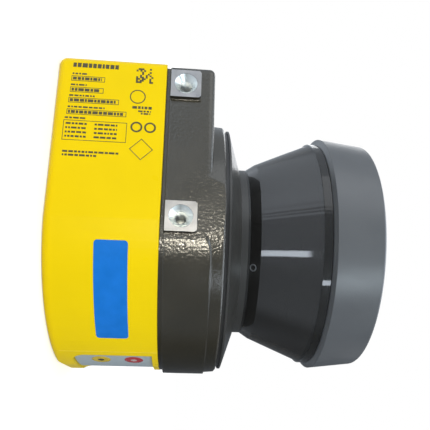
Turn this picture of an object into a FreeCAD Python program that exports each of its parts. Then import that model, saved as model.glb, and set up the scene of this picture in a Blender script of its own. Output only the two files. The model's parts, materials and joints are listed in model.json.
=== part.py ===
import FreeCAD, Part
import math
import os
from types import SimpleNamespace

import Sketcher

# Compact safety laser scanner. Millimetres, +Z up along the scan axis, origin on
# the flat underside below the scan axis, front towards -Y, mounting faces on +X and -X.

os.makedirs("parts", exist_ok=True)
doc = FreeCAD.newDocument("SafetyLaserScanner")
sheet = doc.addObject("Spreadsheet::Sheet", "Sizes")

# Driving dimensions
SIZES = {
    # base housing: outline, walls and the screw columns in it
    "base_height": 37.8,
    "base_half_width": 50.2,
    "rear_reach": 3.8,
    "base_wall": 2.6,
    "base_floor": 2.6,
    "base_bulge": 0.4,
    "front_flat_depth": 1.2,
    "front_wall": 4.8,
    "corner_radius": 3.5,
    "bottom_round": 3.0,
    "column_radius": 4.6,
    "column_inset": 11.6,
    "column_clearance": 0.68,
    "column_rear_inset": 6.9,
    # panel recess in the flat front
    "panel_recess_width": 18.8,
    "panel_recess_low": 5.0,
    "panel_recess_margin": 3.4,
    "panel_recess_depth": 2.0,
    "panel_recess_round": 2.6,
    "panel_gap": 0.2,
    "panel_thickness": 1.4,
    "light_radius": 3.0,
    "light_drop": 5.3,
    "light_rise": 7.5,
    "guide_gap": 0.2,
    "guide_inset": 2.9,
    "guide_clearance": 0.1,
    "guide_plate": 1.6,
    "guide_width": 13.0,
    # connector pocket in the rear
    "pocket_width": 52.0,
    "pocket_low": 5.6,
    "pocket_margin": 8.2,
    "pocket_depth": 10.0,
    "pocket_wall": 2.6,
    "pocket_round": 3.0,
    # system connector, male with outer thread, and its mating length
    "plug_side": -11.0,
    "plug_radius": 6.0,
    "plug_bore": 4.9,
    "plug_reach": 8.6,
    "plug_flange": 8.2,
    "plug_neck": 6.6,
    "pin_circle": 2.75,
    "pin_radius": 0.5,
    "pin_length": 4.6,
    # configuration connector, female with inner thread
    "socket_side": 13.0,
    "socket_radius": 5.2,
    "socket_bore": 3.6,
    "socket_reach": 7.0,
    "socket_flange": 6.8,
    "socket_neck": 4.8,
    "contact_radius": 0.45,
    "contact_circle": 1.5,
    "socket_insert_radius": 2.6,
    "connector_flange": 1.4,
    "connector_tail": 7.0,
    "insert_thickness": 2.4,
    "nut_thickness": 2.6,
    "nut_margin": 2.2,
    "connector_seal": 0.6,
    "connector_fit": 0.1,
    # circuit boards
    "board_thickness": 1.6,
    "board_side_gap": 1.4,
    "board_front_gap": 6.4,
    "board_rear_gap": 1.0,
    "board_corner_cut": 10.0,
    "board_hole_inset": 4.0,
    "board_hole": 1.6,
    "spacer_low": 5.4,
    "spacer_high": 14.4,
    "spacer_radius": 2.6,
    "display_board_width": 20.0,
    # what stands on the main board: processor, power supply, header
    "processor_side": -6.0,
    "processor_place": -3.7,
    "processor_width": 18.0,
    "processor_depth": 20.6,
    "processor_height": 3.0,
    "supply_side": 12.8,
    "supply_place": -0.2,
    "supply_width": 10.4,
    "supply_depth": 20.4,
    "supply_height": 6.0,
    "header_place": 20.8,
    "header_width": 27.0,
    "header_depth": 11.6,
    "header_height": 8.0,
    # what stands on the upper board: driver and coil
    "driver_place": -10.4,
    "driver_width": 18.0,
    "driver_depth": 14.0,
    "driver_height": 2.0,
    "coil_side": -9.8,
    "coil_place": 13.4,
    "coil_width": 13.6,
    "coil_depth": 13.4,
    "coil_height": 5.0,
    # middle housing: recessed lip, rear block, drum
    "lip_height": 1.4,
    "lip_inset": 1.3,
    "side_step": 0.8,
    "rear_step": 0.5,
    "block_height": 15.8,
    "block_top_round": 2.0,
    "drum_bulge": 1.6,
    "drum_straight": 8.0,
    "drum_height": 20.4,
    "drum_taper": 1.0,
    "drum_edge": 0.6,
    "housing_wall": 2.8,
    "housing_roof": 2.6,
    "spigot_depth": 4.0,
    "spigot_wall": 2.4,
    "spigot_gap": 0.25,
    "gasket_height": 1.6,
    "gasket_depth": 1.0,
    "gasket_drop": 1.2,
    # four mounting pads with threads
    "pad_size": 10.6,
    "pad_proud": 1.6,
    "pad_lift": 0.2,
    "pad_round": 1.2,
    "pad_corner_gap": 0.1,
    "pad_spacing": 49.5,
    "thread_core": 2.1,
    "thread_depth": 9.0,
    "thread_countersink": 1.9,
    "boss_margin": 1.6,
    # screws through the base columns
    "screw_radius": 2.0,
    "screw_core": 1.65,
    "screw_clearance": 2.2,
    "screw_grip": 9.0,
    "screw_head": 3.5,
    "screw_head_height": 4.0,
    "screw_sink": 4.6,
    "screw_hex": 1.5,
    "screw_hex_depth": 2.2,
    # optics cover: flange, neck, cone, band and spigot
    "cover_strip": 1.3,
    "cover_strip_inset": 1.1,
    "cover_flange_inset": 1.2,
    "cover_flange_edge": 0.7,
    "cover_slope": 4.9,
    "cover_neck_depth": 15.0,
    "cover_neck_height": 3.3,
    "cover_foot_flare": 2.4,
    "cover_foot_height": 3.6,
    "cover_window_height": 20.7,
    "cover_band_radius": 45.5,
    "cover_band_step": 0.5,
    "cover_band_height": 2.9,
    "cover_spigot_step": 1.7,
    "cover_spigot_height": 2.8,
    "cover_wall": 2.6,
    "cover_seal": 1.2,
    "cover_seal_width": 1.6,
    # head cap
    "cap_height": 19.0,
    "cap_overhang": 2.1,
    "cap_taper": 2.1,
    "cap_lip": 0.4,
    "cap_chamfer": 1.3,
    "cap_edge": 1.2,
    "cap_wall": 2.6,
    "cap_gap": 0.2,
    "cap_seal": 1.2,
    "cap_screw_radius": 1.5,
    "cap_screw_core": 1.25,
    "cap_screw_clearance": 1.7,
    "cap_screw_head": 2.9,
    "cap_screw_sink": 0.6,
    "cap_screw_length": 10.0,
    "cap_boss_radius": 4.0,
    "cap_boss_height": 3.0,
    # optics frame: foot ring, rear spine, motor plate and hub
    "frame_foot_gap": 3.5,
    "frame_foot_seat": 10.0,
    "frame_foot": 2.4,
    "frame_bore_gap": 0.4,
    "frame_spine_gap": 0.6,
    "frame_spine": 3.6,
    "frame_spine_half_angle": 34.0,
    "frame_plate_lift": 0.5,
    "frame_plate": 2.4,
    "frame_plate_gap": 3.2,
    "frame_post_radius": 3.4,
    "frame_post_edge": 0.66,
    "frame_screw_edge": 4.65,
    "frame_screw_head": 2.6,
    "frame_screw_head_height": 1.2,
    "frame_screw_length": 5.0,
    # receiver below the mirror
    "tube_gap": 0.6,
    "tube_wall": 2.0,
    "tube_lip": 2.4,
    "tube_lip_height": 1.4,
    "tube_drop": 17.6,
    "lens_lift": 13.0,
    "lens_edge": 2.6,
    "lens_bulge": 4.2,
    "lens_ledge": 1.6,
    "lens_gap": 0.05,
    "lens_shoulder_share": 0.8,
    "lens_middle_share": 0.52,
    "lens_shoulder_rise": 1.8,
    "lens_middle_rise": 3.4,
    "lens_ring": 1.4,
    "lens_ring_seat": 1.3,
    "lens_ring_rise": 2.6,
    "laser_radius": 4.0,
    "laser_collar": 5.2,
    "laser_collar_height": 1.5,
    "laser_lift": 7.0,
    "laser_length": 13.5,
    "laser_wall": 1.6,
    "laser_aperture": 2.0,
    "web_thickness": 1.8,
    "web_height": 3.0,
    "diode_radius": 4.2,
    "diode_height": 2.4,
    # ring board with the light barriers that watch the window
    "monitor_inset": 1.0,
    "monitor_width": 3.4,
    "monitor_board": 1.2,
    "monitor_eye": 1.1,
    "monitor_eye_height": 1.4,
    "monitor_clearance": 0.6,
    # motor in the head
    "hub_radius": 7.4,
    "hub_height": 9.0,
    "bearing_radius": 5.6,
    "bearing_height": 3.4,
    "bearing_fit": 0.02,
    "shaft_radius": 2.0,
    "shaft_drop": 6.6,
    "stator_inner_teeth": 10.4,
    "stator_radius": 17.6,
    "stator_height": 5.6,
    "stator_slot": 2.2,
    "rotor_gap": 0.5,
    "rotor_wall": 3.0,
    "rotor_lift": 1.0,
    "rotor_top": 2.0,
    "motor_board_inset": 1.4,
    "motor_board_width": 6.5,
    # mirror assembly on the shaft
    "carrier_radius": 12.6,
    "carrier_gap": 1.0,
    "carrier_length": 23.6,
    "mirror_lift": 11.6,
    "mirror_thickness": 1.6,
    "mirror_margin": 0.6,
    "encoder_inner": 12.0,
    "encoder_margin": 3.3,
    "encoder_thickness": 0.8,
    "encoder_slot": 1.0,
    "encoder_gap": 0.7,
    "encoder_body": 6.0,
    "encoder_reach": 4.0,
    "encoder_jaw": 1.2,
    # reference target on the spine
    "target_width": 9.0,
    "target_height": 10.0,
    "target_depth": 1.6,
    "target_drop": 4.6,
}

# One cell per size: its name beside it, and the name as the cell's alias
for row, (alias, number) in enumerate(SIZES.items(), start=1):
    sheet.set(f"A{row}", alias)
    sheet.set(f"B{row}", str(number))
    sheet.setAlias(f"B{row}", alias)
doc.recompute()


class Size:
    """A length that carries its number together with the sheet formula for it."""

    def __init__(self, value, text):
        self.value = value
        self.text = text

    def __add__(self, other):
        other = as_size(other)
        return Size(self.value + other.value, f"({self.text} + {other.text})")

    def __sub__(self, other):
        other = as_size(other)
        return Size(self.value - other.value, f"({self.text} - {other.text})")

    def __mul__(self, factor):
        factor = as_size(factor)
        return Size(self.value * factor.value, f"({self.text} * {factor.text})")

    def __truediv__(self, divisor):
        return Size(self.value / divisor, f"({self.text} / {divisor})")

    def __neg__(self):
        return Size(-self.value, f"(0 - {self.text})")


def as_size(number):
    """A plain number as a size with a constant formula."""
    if isinstance(number, Size):
        return number
    return Size(float(number), repr(float(number)))


def half_chord(radius, distance):
    """Half the chord of a circle at a distance from its centre."""
    value = math.sqrt(radius.value ** 2 - distance.value ** 2)
    return Size(value, f"sqrt({radius.text} ^ 2 - {distance.text} ^ 2)")


S = SimpleNamespace(**{alias: Size(number, f"Sizes.{alias}") for alias, number in SIZES.items()})
ZERO = as_size(0)
bodies = []

# Diagonal of a unit square, and how often pins, contacts, eyes and slots repeat
DIAGONAL = math.sqrt(2)
SYSTEM_PINS = 7
SYSTEM_PIN_START = 90
CONFIG_CONTACTS = 4
CONFIG_CONTACT_START = 45
BARRIER_EYES = 8
BARRIER_EYE_START = 22.5
STATOR_SLOTS = 9
ENCODER_SLOTS = 24


def new_body(label):
    """An empty body that becomes one sub-part."""
    body = doc.addObject("PartDesign::Body", label)
    body.Label = label
    body.AllowCompound = True
    body.Placement = FreeCAD.Placement()
    bodies.append(body)
    return body


def sketch_on(body, plane, offset):
    """A sketch on one of the body's own planes, moved along that plane's normal."""
    sketch = body.newObject("Sketcher::SketchObject", f"{body.Label}_outline")
    role = f"{plane}_Plane"
    support = next(item for item in body.Origin.OriginFeatures if item.Role == role)
    sketch.AttachmentSupport = [(support, "")]
    sketch.MapMode = "FlatFace"
    sketch.setExpression("AttachmentOffset.Base.z", as_size(offset).text)
    return sketch


def tie(sketch, kind, geometry, size):
    """One dimension in a sketch, bound to the sheet."""
    index = sketch.addConstraint(Sketcher.Constraint(kind, *geometry, size.value))
    name = f"size_{index}"
    sketch.renameConstraint(index, name)
    sketch.setExpression(f"Constraints.{name}", size.text)


def tie_point(sketch, curve, end, x, y, which="xy"):
    """Places one point of a curve; a coordinate of zero lies on the sketch axis."""
    for letter, kind, axis, size in (("x", "DistanceX", -2, x), ("y", "DistanceY", -1, y)):
        if letter not in which:
            continue
        if size is ZERO:
            sketch.addConstraint(Sketcher.Constraint("PointOnObject", curve, end, axis))
        else:
            tie(sketch, kind, (curve, end), size)


def outline(sketch, points):
    """Closed outline. A point is (x, y), or (x, y, letter) to place only that coordinate.
    A radius between two points makes the run between them an arc about the origin."""
    corners = []
    radii = {}
    for item in points:
        if isinstance(item, Size):
            radii[len(corners) - 1] = item
        else:
            corners.append((as_size_or_zero(item[0]), as_size_or_zero(item[1]), *item[2:]))
    curves = []
    for number, start in enumerate(corners):
        finish = corners[(number + 1) % len(corners)]
        first = FreeCAD.Vector(start[0].value, start[1].value, 0)
        last = FreeCAD.Vector(finish[0].value, finish[1].value, 0)
        if number in radii:
            middle = (first + last).normalize() * radii[number].value
            curve = Part.Arc(first, middle, last)
            arc = curve.toShape().Curve
            turning = arc.Axis.z
            begin = math.atan2(first.y, first.x)
            end = math.atan2(last.y, last.x)
            if turning < 0:
                begin, end = end, begin
            circle = Part.Circle(FreeCAD.Vector(0, 0, 0), FreeCAD.Vector(0, 0, 1), radii[number].value)
            index = sketch.addGeometry(Part.ArcOfCircle(circle, begin, end))
            curves.append((index, 2, 1) if turning < 0 else (index, 1, 2))
            sketch.addConstraint(Sketcher.Constraint("Coincident", index, 3, -1, 1))
            tie(sketch, "Radius", (index,), radii[number])
        else:
            curves.append((sketch.addGeometry(Part.LineSegment(first, last)), 1, 2))
    for number, start in enumerate(corners):
        curve, begin, _ = curves[number]
        before, _, end = curves[number - 1]
        sketch.addConstraint(Sketcher.Constraint("Coincident", before, end, curve, begin))
        tie_point(sketch, curve, begin, start[0], start[1], start[2] if len(start) > 2 else "xy")


def as_size_or_zero(number):
    """A coordinate as a size, with plain zero kept as the sketch axis."""
    if not isinstance(number, Size) and number == 0:
        return ZERO
    return as_size(number)


def circle(sketch, x, y, radius):
    """A circle with its centre and radius bound to the sheet."""
    x, y = as_size_or_zero(x), as_size_or_zero(y)
    centre = FreeCAD.Vector(x.value, y.value, 0)
    index = sketch.addGeometry(Part.Circle(centre, FreeCAD.Vector(0, 0, 1), radius.value))
    tie_point(sketch, index, 3, x, y)
    tie(sketch, "Radius", (index,), radius)


def rectangle(sketch, left, low, right, high):
    """An upright rectangle given by its two corners."""
    outline(sketch, [(left, low), (right, low), (right, high), (left, high)])


def corner_circles(sketch, side, front, rear, radius):
    """Four equal circles at the corners of a rectangle about the centre plane."""
    for x in (side, -side):
        for y in (-front, rear):
            circle(sketch, x, y, radius)


def extrude(body, plane, start, end, draw, cut=False):
    """Adds or cuts a drawn outline between two stations along the plane's normal."""
    start, end = as_size(start), as_size(end)
    sketch = sketch_on(body, plane, end if cut else start)
    draw(sketch)
    kind = "Pocket" if cut else "Pad"
    feature = body.newObject(f"PartDesign::{kind}", f"{body.Label}_{kind.lower()}")
    feature.Profile = sketch
    feature.setExpression("Length", (end - start).text)
    doc.recompute()
    return feature


def turn(body, points, cut=False):
    """Adds or cuts a profile of (radius, level) points turned about the scan axis."""
    sketch = sketch_on(body, "XZ", ZERO)
    outline(sketch, points)
    kind = "Groove" if cut else "Revolution"
    feature = body.newObject(f"PartDesign::{kind}", f"{body.Label}_{kind.lower()}")
    feature.Profile = sketch
    feature.ReferenceAxis = (sketch, ["V_Axis"])
    feature.Angle = 360
    doc.recompute()
    return feature


def round_edges(body, feature, radius, chosen, kind="Fillet"):
    """Fillets or chamfers the edges of a feature that a test picks by their middle."""
    names = []
    for number, edge in enumerate(feature.Shape.Edges, start=1):
        first, last = edge.ParameterRange
        if chosen(edge.valueAt((first + last) / 2), edge):
            names.append(f"Edge{number}")
    finish = body.newObject(f"PartDesign::{kind}", f"{body.Label}_{kind.lower()}")
    finish.Base = (feature, names)
    finish.setExpression("Radius" if kind == "Fillet" else "Size", as_size(radius).text)
    doc.recompute()
    return finish


def near(first, second):
    """Whether two numbers are the same length."""
    return abs(first - as_size(second).value) < 0.01


def is_upright(edge):
    """Whether an edge runs along the scan axis."""
    box = edge.BoundBox
    return box.ZLength > 0.5 and box.XLength < 0.01 and box.YLength < 0.01


def is_lengthwise(edge):
    """Whether an edge runs from front to rear."""
    box = edge.BoundBox
    return box.YLength > 0.3 and box.XLength < 0.01 and box.ZLength < 0.01


def d_outline(sketch, half_width, radius, rear, front=None):
    """Plan with a flat rear, flat sides and a round front about the scan axis,
    which is cut flat where a distance to the front is given."""
    shoulder = half_chord(radius, half_width)
    points = [(half_width, rear), (-half_width, rear), (-half_width, -shoulder, "x"), radius]
    if front is not None:
        across = half_chord(radius, front)
        points += [(-across, -front, "y"), (across, -front, "y"), radius]
    points.append((half_width, -shoulder, "x"))
    outline(sketch, points)


# Levels and outlines that several pieces share
base_round = S.base_half_width + S.base_bulge
base_front = base_round - S.front_flat_depth
base_rear = S.base_half_width + S.rear_reach
cavity_half = S.base_half_width - S.base_wall
cavity_round = base_round - S.base_wall
cavity_rear = base_rear - S.base_wall
cavity_front = base_front - S.front_wall
spigot_low = S.base_height - S.spigot_depth
lip_top = S.base_height + S.lip_height
block_half = S.base_half_width - S.side_step
block_rear = base_rear - S.rear_step
block_top = lip_top + S.block_height
drum_low_radius = block_half + S.drum_bulge
drum_top = lip_top + S.drum_height
drum_straight_top = lip_top + S.drum_straight
drum_top_radius = drum_low_radius - S.drum_taper

# Base: screw columns, connector pocket, panel and boards
column_side = cavity_half - S.column_inset
column_front = half_chord(cavity_round - S.column_radius - S.column_clearance, column_side)
column_rear = cavity_rear - S.column_rear_inset
pocket_floor = base_rear - S.pocket_depth
pocket_high = S.base_height - S.pocket_margin
connector_level = (S.pocket_low + pocket_high) / 2
recess_floor = base_front - S.panel_recess_depth
recess_high = S.base_height - S.panel_recess_margin
recess_middle = (S.panel_recess_low + recess_high) / 2
light_levels = (recess_middle - S.light_drop, recess_middle + S.light_rise)
board_half_width = column_side - S.column_radius - S.board_side_gap
board_front = cavity_front - S.guide_plate - S.board_thickness - S.board_front_gap
board_rear = pocket_floor - S.pocket_wall - S.connector_tail - S.board_rear_gap
main_board_level = S.base_floor + S.spacer_low
upper_board_level = main_board_level + S.board_thickness + S.spacer_high

# Side pads
pad_plane = block_half + S.pad_proud
pad_rear = block_rear - S.corner_radius - S.pad_corner_gap - S.pad_size / 2
pad_level = lip_top + S.pad_lift + S.pad_size / 2

# Optics cover and head cap
flange_radius = drum_top_radius - S.cover_flange_inset
strip_radius = flange_radius - S.cover_strip_inset
neck_radius = flange_radius - S.cover_neck_depth
foot_radius = neck_radius + S.cover_foot_flare
window_radius = S.cover_band_radius - S.cover_band_step
spigot_radius = S.cover_band_radius - S.cover_spigot_step
strip_top = drum_top + S.cover_strip
flange_top = strip_top + S.cover_flange_edge
neck_low = flange_top + S.cover_slope
neck_high = neck_low + S.cover_neck_height
foot_level = neck_high + S.cover_foot_height
window_top = foot_level + S.cover_window_height
cap_low = window_top + S.cover_band_height
cover_spigot_top = cap_low + S.cover_spigot_height
cap_top = cap_low + S.cap_height
cap_inside = cap_top - S.cap_wall
cap_lower_radius = S.cover_band_radius + S.cap_overhang

# Optics frame, receiver and ring board
spine_outer = neck_radius - S.cover_wall - S.frame_spine_gap
spine_inner = spine_outer - S.frame_spine
tube_radius = spine_inner - S.tube_lip - S.tube_gap
tube_low = drum_top - S.tube_drop
lens_level = tube_low + S.lens_lift
laser_low = tube_low + S.laser_lift
frame_foot_radius = strip_radius - S.cover_wall - S.cover_seal_width - S.frame_foot_gap
receiver_opening = frame_foot_radius - S.frame_foot_seat
frame_foot_top = drum_top + S.frame_foot
frame_plate_level = window_top + S.frame_plate_lift
frame_plate_top = frame_plate_level + S.frame_plate
frame_plate_radius = spigot_radius - S.cover_wall - S.frame_plate_gap
frame_screw_side = (frame_foot_radius - S.frame_screw_edge) / DIAGONAL
post_side = (frame_plate_radius - S.frame_post_radius - S.frame_post_edge) / DIAGONAL
post_top = cap_inside - S.cap_boss_height
monitor_inner = spine_inner + S.monitor_inset

# Motor, encoder and mirror
hub_high = frame_plate_top + S.hub_height
bell_low = hub_high + S.rotor_gap
bell_top = bell_low + S.rotor_top
bell_inner = S.stator_radius + S.rotor_gap
bell_outer = bell_inner + S.rotor_wall
encoder_radius = bell_outer + S.encoder_margin
motor_board_inner = encoder_radius - S.motor_board_inset
shaft_low = frame_plate_level - S.shaft_drop
carrier_high = frame_plate_level - S.carrier_gap
carrier_low = carrier_high - S.carrier_length
mirror_centre = carrier_low + S.mirror_lift


def spigot_outline(sketch, inset):
    """Outline of the middle housing's spigot inside the base, less an inset."""
    gap = S.spigot_gap + inset
    d_outline(sketch, cavity_half - gap, cavity_round - gap, cavity_rear - gap, cavity_front - gap)


def base_cavity_outline(sketch):
    """Outline of the hollow in the base housing."""
    d_outline(sketch, cavity_half, cavity_round, cavity_rear, cavity_front)


def make_base_housing():
    """Yellow lower shell with the panel recess, the connector pocket and four screw columns."""
    body = new_body("base_housing")
    pad = extrude(
        body, "XY", 0, S.base_height,
        lambda sketch: d_outline(sketch, S.base_half_width, base_round, base_rear, base_front),
    )
    corners = round_edges(
        body, pad, S.corner_radius,
        lambda middle, edge: is_upright(edge) and near(middle.y, base_rear),
    )
    round_edges(body, corners, S.bottom_round, lambda middle, edge: near(middle.z, 0))
    extrude(body, "XY", S.base_floor, S.base_height, base_cavity_outline, cut=True)

    pocket_half = S.pocket_width / 2
    shroud_half = pocket_half + S.pocket_wall
    extrude(
        body, "XY", S.base_floor, pocket_high + S.pocket_wall,
        lambda sketch: rectangle(
            sketch, -shroud_half, pocket_floor - S.pocket_wall, shroud_half, base_rear - S.base_wall / 2
        ),
    )
    pocket = extrude(
        body, "XZ", -base_rear, -pocket_floor,
        lambda sketch: rectangle(sketch, -pocket_half, S.pocket_low, pocket_half, pocket_high),
        cut=True,
    )
    round_edges(
        body, pocket, S.pocket_round,
        lambda middle, edge: is_lengthwise(edge) and near(abs(middle.x), pocket_half) and middle.y > 0,
    )

    def columns(sketch):
        corner_circles(sketch, column_side, column_front, column_rear, S.column_radius)

    extrude(body, "XY", S.base_floor / 2, spigot_low, columns)
    extrude(
        body, "XY", 0, spigot_low,
        lambda sketch: corner_circles(
            sketch, column_side, column_front, column_rear, S.screw_clearance
        ),
        cut=True,
    )
    extrude(
        body, "XY", 0, S.screw_sink,
        lambda sketch: corner_circles(
            sketch, column_side, column_front, column_rear, S.screw_head + S.spigot_gap
        ),
        cut=True,
    )

    extrude(body, "XZ", -(pocket_floor), -(pocket_floor - S.pocket_wall), connector_holes, cut=True)
    recess = extrude(body, "XZ", recess_floor, base_front, panel_recess_outline, cut=True)
    round_edges(
        body, recess, S.panel_recess_round,
        lambda middle, edge: is_lengthwise(edge) and near(middle.z, S.panel_recess_low) and middle.y < 0,
    )
    extrude(body, "XZ", cavity_front, recess_floor, light_holes, cut=True)


def connector_holes(sketch):
    """Holes for the two connector necks."""
    circle(sketch, S.plug_side, connector_level, S.plug_neck + S.connector_fit)
    circle(sketch, S.socket_side, connector_level, S.socket_neck + S.connector_fit)


def panel_recess_outline(sketch):
    """Recess for the display panel in the flat front."""
    half = S.panel_recess_width / 2
    rectangle(sketch, -half, S.panel_recess_low, half, recess_high)


def light_holes(sketch):
    """Two round windows behind the display panel."""
    for level in light_levels:
        circle(sketch, 0, level, S.light_radius + S.guide_gap)


def make_display():
    """Front panel, the light guide behind it and the small board with the lamps."""
    half = S.panel_recess_width / 2 - S.panel_gap
    low = S.panel_recess_low + S.panel_gap
    high = recess_high - S.panel_gap
    panel = new_body("display_panel")
    plate = extrude(
        panel, "XZ", recess_floor, recess_floor + S.panel_thickness,
        lambda sketch: rectangle(sketch, -half, low, half, high),
    )
    round_edges(
        panel, plate, S.panel_recess_round - S.panel_gap,
        lambda middle, edge: is_lengthwise(edge) and near(middle.z, low),
    )

    guide = new_body("light_guide")
    guide_half = S.guide_width / 2
    guide_low = S.panel_recess_low + S.guide_inset
    guide_high = spigot_low - S.guide_clearance
    extrude(
        guide, "XZ", cavity_front - S.guide_plate, cavity_front,
        lambda sketch: rectangle(sketch, -guide_half, guide_low, guide_half, guide_high),
    )

    def lamps(sketch):
        for level in light_levels:
            circle(sketch, 0, level, S.light_radius)

    extrude(guide, "XZ", cavity_front - S.guide_plate / 2, recess_floor, lamps)

    board = new_body("display_board")
    board_half = S.display_board_width / 2
    face = cavity_front - S.guide_plate
    extrude(
        board, "XZ", face - S.board_thickness, face,
        lambda sketch: rectangle(sketch, -board_half, guide_low, board_half, guide_high),
    )


def board_holes(sketch, radius):
    """Four circles at the fixing holes of the two circuit boards."""
    side = board_half_width - S.board_hole_inset
    front = board_front - S.board_hole_inset
    rear = board_rear - S.board_hole_inset
    corner_circles(sketch, side, front, rear, radius)


def make_board(label, level, blocks):
    """A circuit board with fixing holes and blocks of (side, place, width, depth, height)."""
    body = new_body(label)
    top = level + S.board_thickness
    extrude(body, "XY", level, top, board_plan)
    extrude(body, "XY", level, top, lambda sketch: board_holes(sketch, S.board_hole), cut=True)
    for side, place, width, depth, height in blocks:
        left, right = side - width / 2, side + width / 2
        front, rear = place - depth / 2, place + depth / 2
        extrude(
            body, "XY", top - S.board_thickness / 2, top + height,
            lambda sketch: rectangle(sketch, left, front, right, rear),
        )


def board_plan(sketch):
    """Board outline with its two front corners cut back to follow the round front."""
    half = board_half_width
    cut = S.board_corner_cut
    outline(sketch, [
        (-(half - cut), -board_front),
        (half - cut, -board_front),
        (half, -(board_front - cut)),
        (half, board_rear),
        (-half, board_rear),
        (-half, -(board_front - cut)),
    ])


def make_base_electronics():
    """Main board, upper board, the spacers between them and their screws."""
    make_board("main_board", main_board_level, [
        (S.processor_side, S.processor_place, S.processor_width, S.processor_depth, S.processor_height),
        (S.supply_side, S.supply_place, S.supply_width, S.supply_depth, S.supply_height),
        (ZERO, S.header_place, S.header_width, S.header_depth, S.header_height),
    ])
    make_board("upper_board", upper_board_level, [
        (ZERO, S.driver_place, S.driver_width, S.driver_depth, S.driver_height),
        (S.coil_side, S.coil_place, S.coil_width, S.coil_depth, S.coil_height),
    ])
    spacers = new_body("board_spacers")
    main_top = main_board_level + S.board_thickness
    extrude(
        spacers, "XY", S.base_floor, main_board_level,
        lambda sketch: board_holes(sketch, S.spacer_radius),
    )
    extrude(
        spacers, "XY", main_top, upper_board_level,
        lambda sketch: board_holes(sketch, S.spacer_radius),
    )
    screws = new_body("board_screws")
    upper_top = upper_board_level + S.board_thickness
    extrude(
        screws, "XY", upper_top, upper_top + S.board_thickness,
        lambda sketch: board_holes(sketch, S.spacer_radius),
    )
    extrude(
        screws, "XY", upper_board_level, upper_top + S.board_thickness / 2,
        lambda sketch: board_holes(sketch, S.board_hole - S.panel_gap),
    )


def polar_points(count, radius, start=0):
    """Points evenly round a circle, as multiples of its radius."""
    for number in range(count):
        angle = math.radians(start) + math.tau * number / count
        yield radius * round(math.cos(angle), 9), radius * round(math.sin(angle), 9)


def hexagon(sketch, x, y, flat):
    """A hexagon by its centre and half its width across flats."""
    reach = flat * (2 / math.sqrt(3))
    corners = [(x + dx, y + dy) for dx, dy in polar_points(6, reach)]
    outline(sketch, corners)


def make_connectors():
    """Two panel connectors in the rear pocket, with inserts, seals and nuts."""
    level = connector_level
    flange_low = pocket_floor + S.connector_seal
    flange_high = flange_low + S.connector_flange
    wall_inside = pocket_floor - S.pocket_wall
    tail = wall_inside - S.connector_tail
    seals = new_body("connector_seals")
    nuts = new_body("connector_nuts")
    kinds = (
        ("system_connector", S.plug_side, S.plug_radius, S.plug_bore, S.plug_reach,
         S.plug_flange, S.plug_neck),
        ("config_connector", S.socket_side, S.socket_radius, S.socket_bore, S.socket_reach,
         S.socket_flange, S.socket_neck),
    )
    for label, x, radius, bore, reach, flange, neck in kinds:
        shell = new_body(label)
        mouth = pocket_floor + reach
        extrude(shell, "XZ", -flange_high, -flange_low, lambda sketch: circle(sketch, x, level, flange))
        extrude(shell, "XZ", -mouth, -flange_low, lambda sketch: circle(sketch, x, level, radius))
        extrude(shell, "XZ", -flange_high, -tail, lambda sketch: circle(sketch, x, level, neck))
        extrude(shell, "XZ", -mouth, -tail, lambda sketch: circle(sketch, x, level, bore), cut=True)

        def ring(sketch):
            circle(sketch, x, level, flange - S.panel_gap)
            circle(sketch, x, level, neck + S.connector_fit)

        extrude(seals, "XZ", -flange_low, -pocket_floor, ring)

        def nut(sketch):
            hexagon(sketch, x, level, neck + S.nut_margin)
            circle(sketch, x, level, neck + S.connector_fit)

        extrude(nuts, "XZ", -wall_inside, -(wall_inside - S.nut_thickness), nut)

    face = flange_high
    pins = new_body("system_connector_insert")
    extrude(
        pins, "XZ", -face, -(face - S.insert_thickness),
        lambda sketch: circle(sketch, S.plug_side, level, S.plug_bore - S.connector_fit / 2),
    )

    def pin_circles(sketch):
        for dx, dy in polar_points(SYSTEM_PINS, S.pin_circle, SYSTEM_PIN_START):
            circle(sketch, S.plug_side + dx, level + dy, S.pin_radius)
        circle(sketch, S.plug_side, level, S.pin_radius)

    extrude(pins, "XZ", -(face + S.pin_length), -(tail - S.board_rear_gap / 2), pin_circles)

    contacts = new_body("config_connector_insert")
    socket_face = pocket_floor + S.socket_reach - S.insert_thickness
    extrude(
        contacts, "XZ", -face, -(face - S.insert_thickness),
        lambda sketch: circle(sketch, S.socket_side, level, S.socket_bore - S.connector_fit / 2),
    )
    extrude(
        contacts, "XZ", -socket_face, -(face - S.insert_thickness / 2),
        lambda sketch: circle(sketch, S.socket_side, level, S.socket_insert_radius),
    )

    def contact_circles(sketch):
        for dx, dy in polar_points(CONFIG_CONTACTS, S.contact_circle, CONFIG_CONTACT_START):
            circle(sketch, S.socket_side + dx, level + dy, S.contact_radius)

    extrude(contacts, "XZ", -socket_face, -(face - S.insert_thickness / 2), contact_circles, cut=True)


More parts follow.
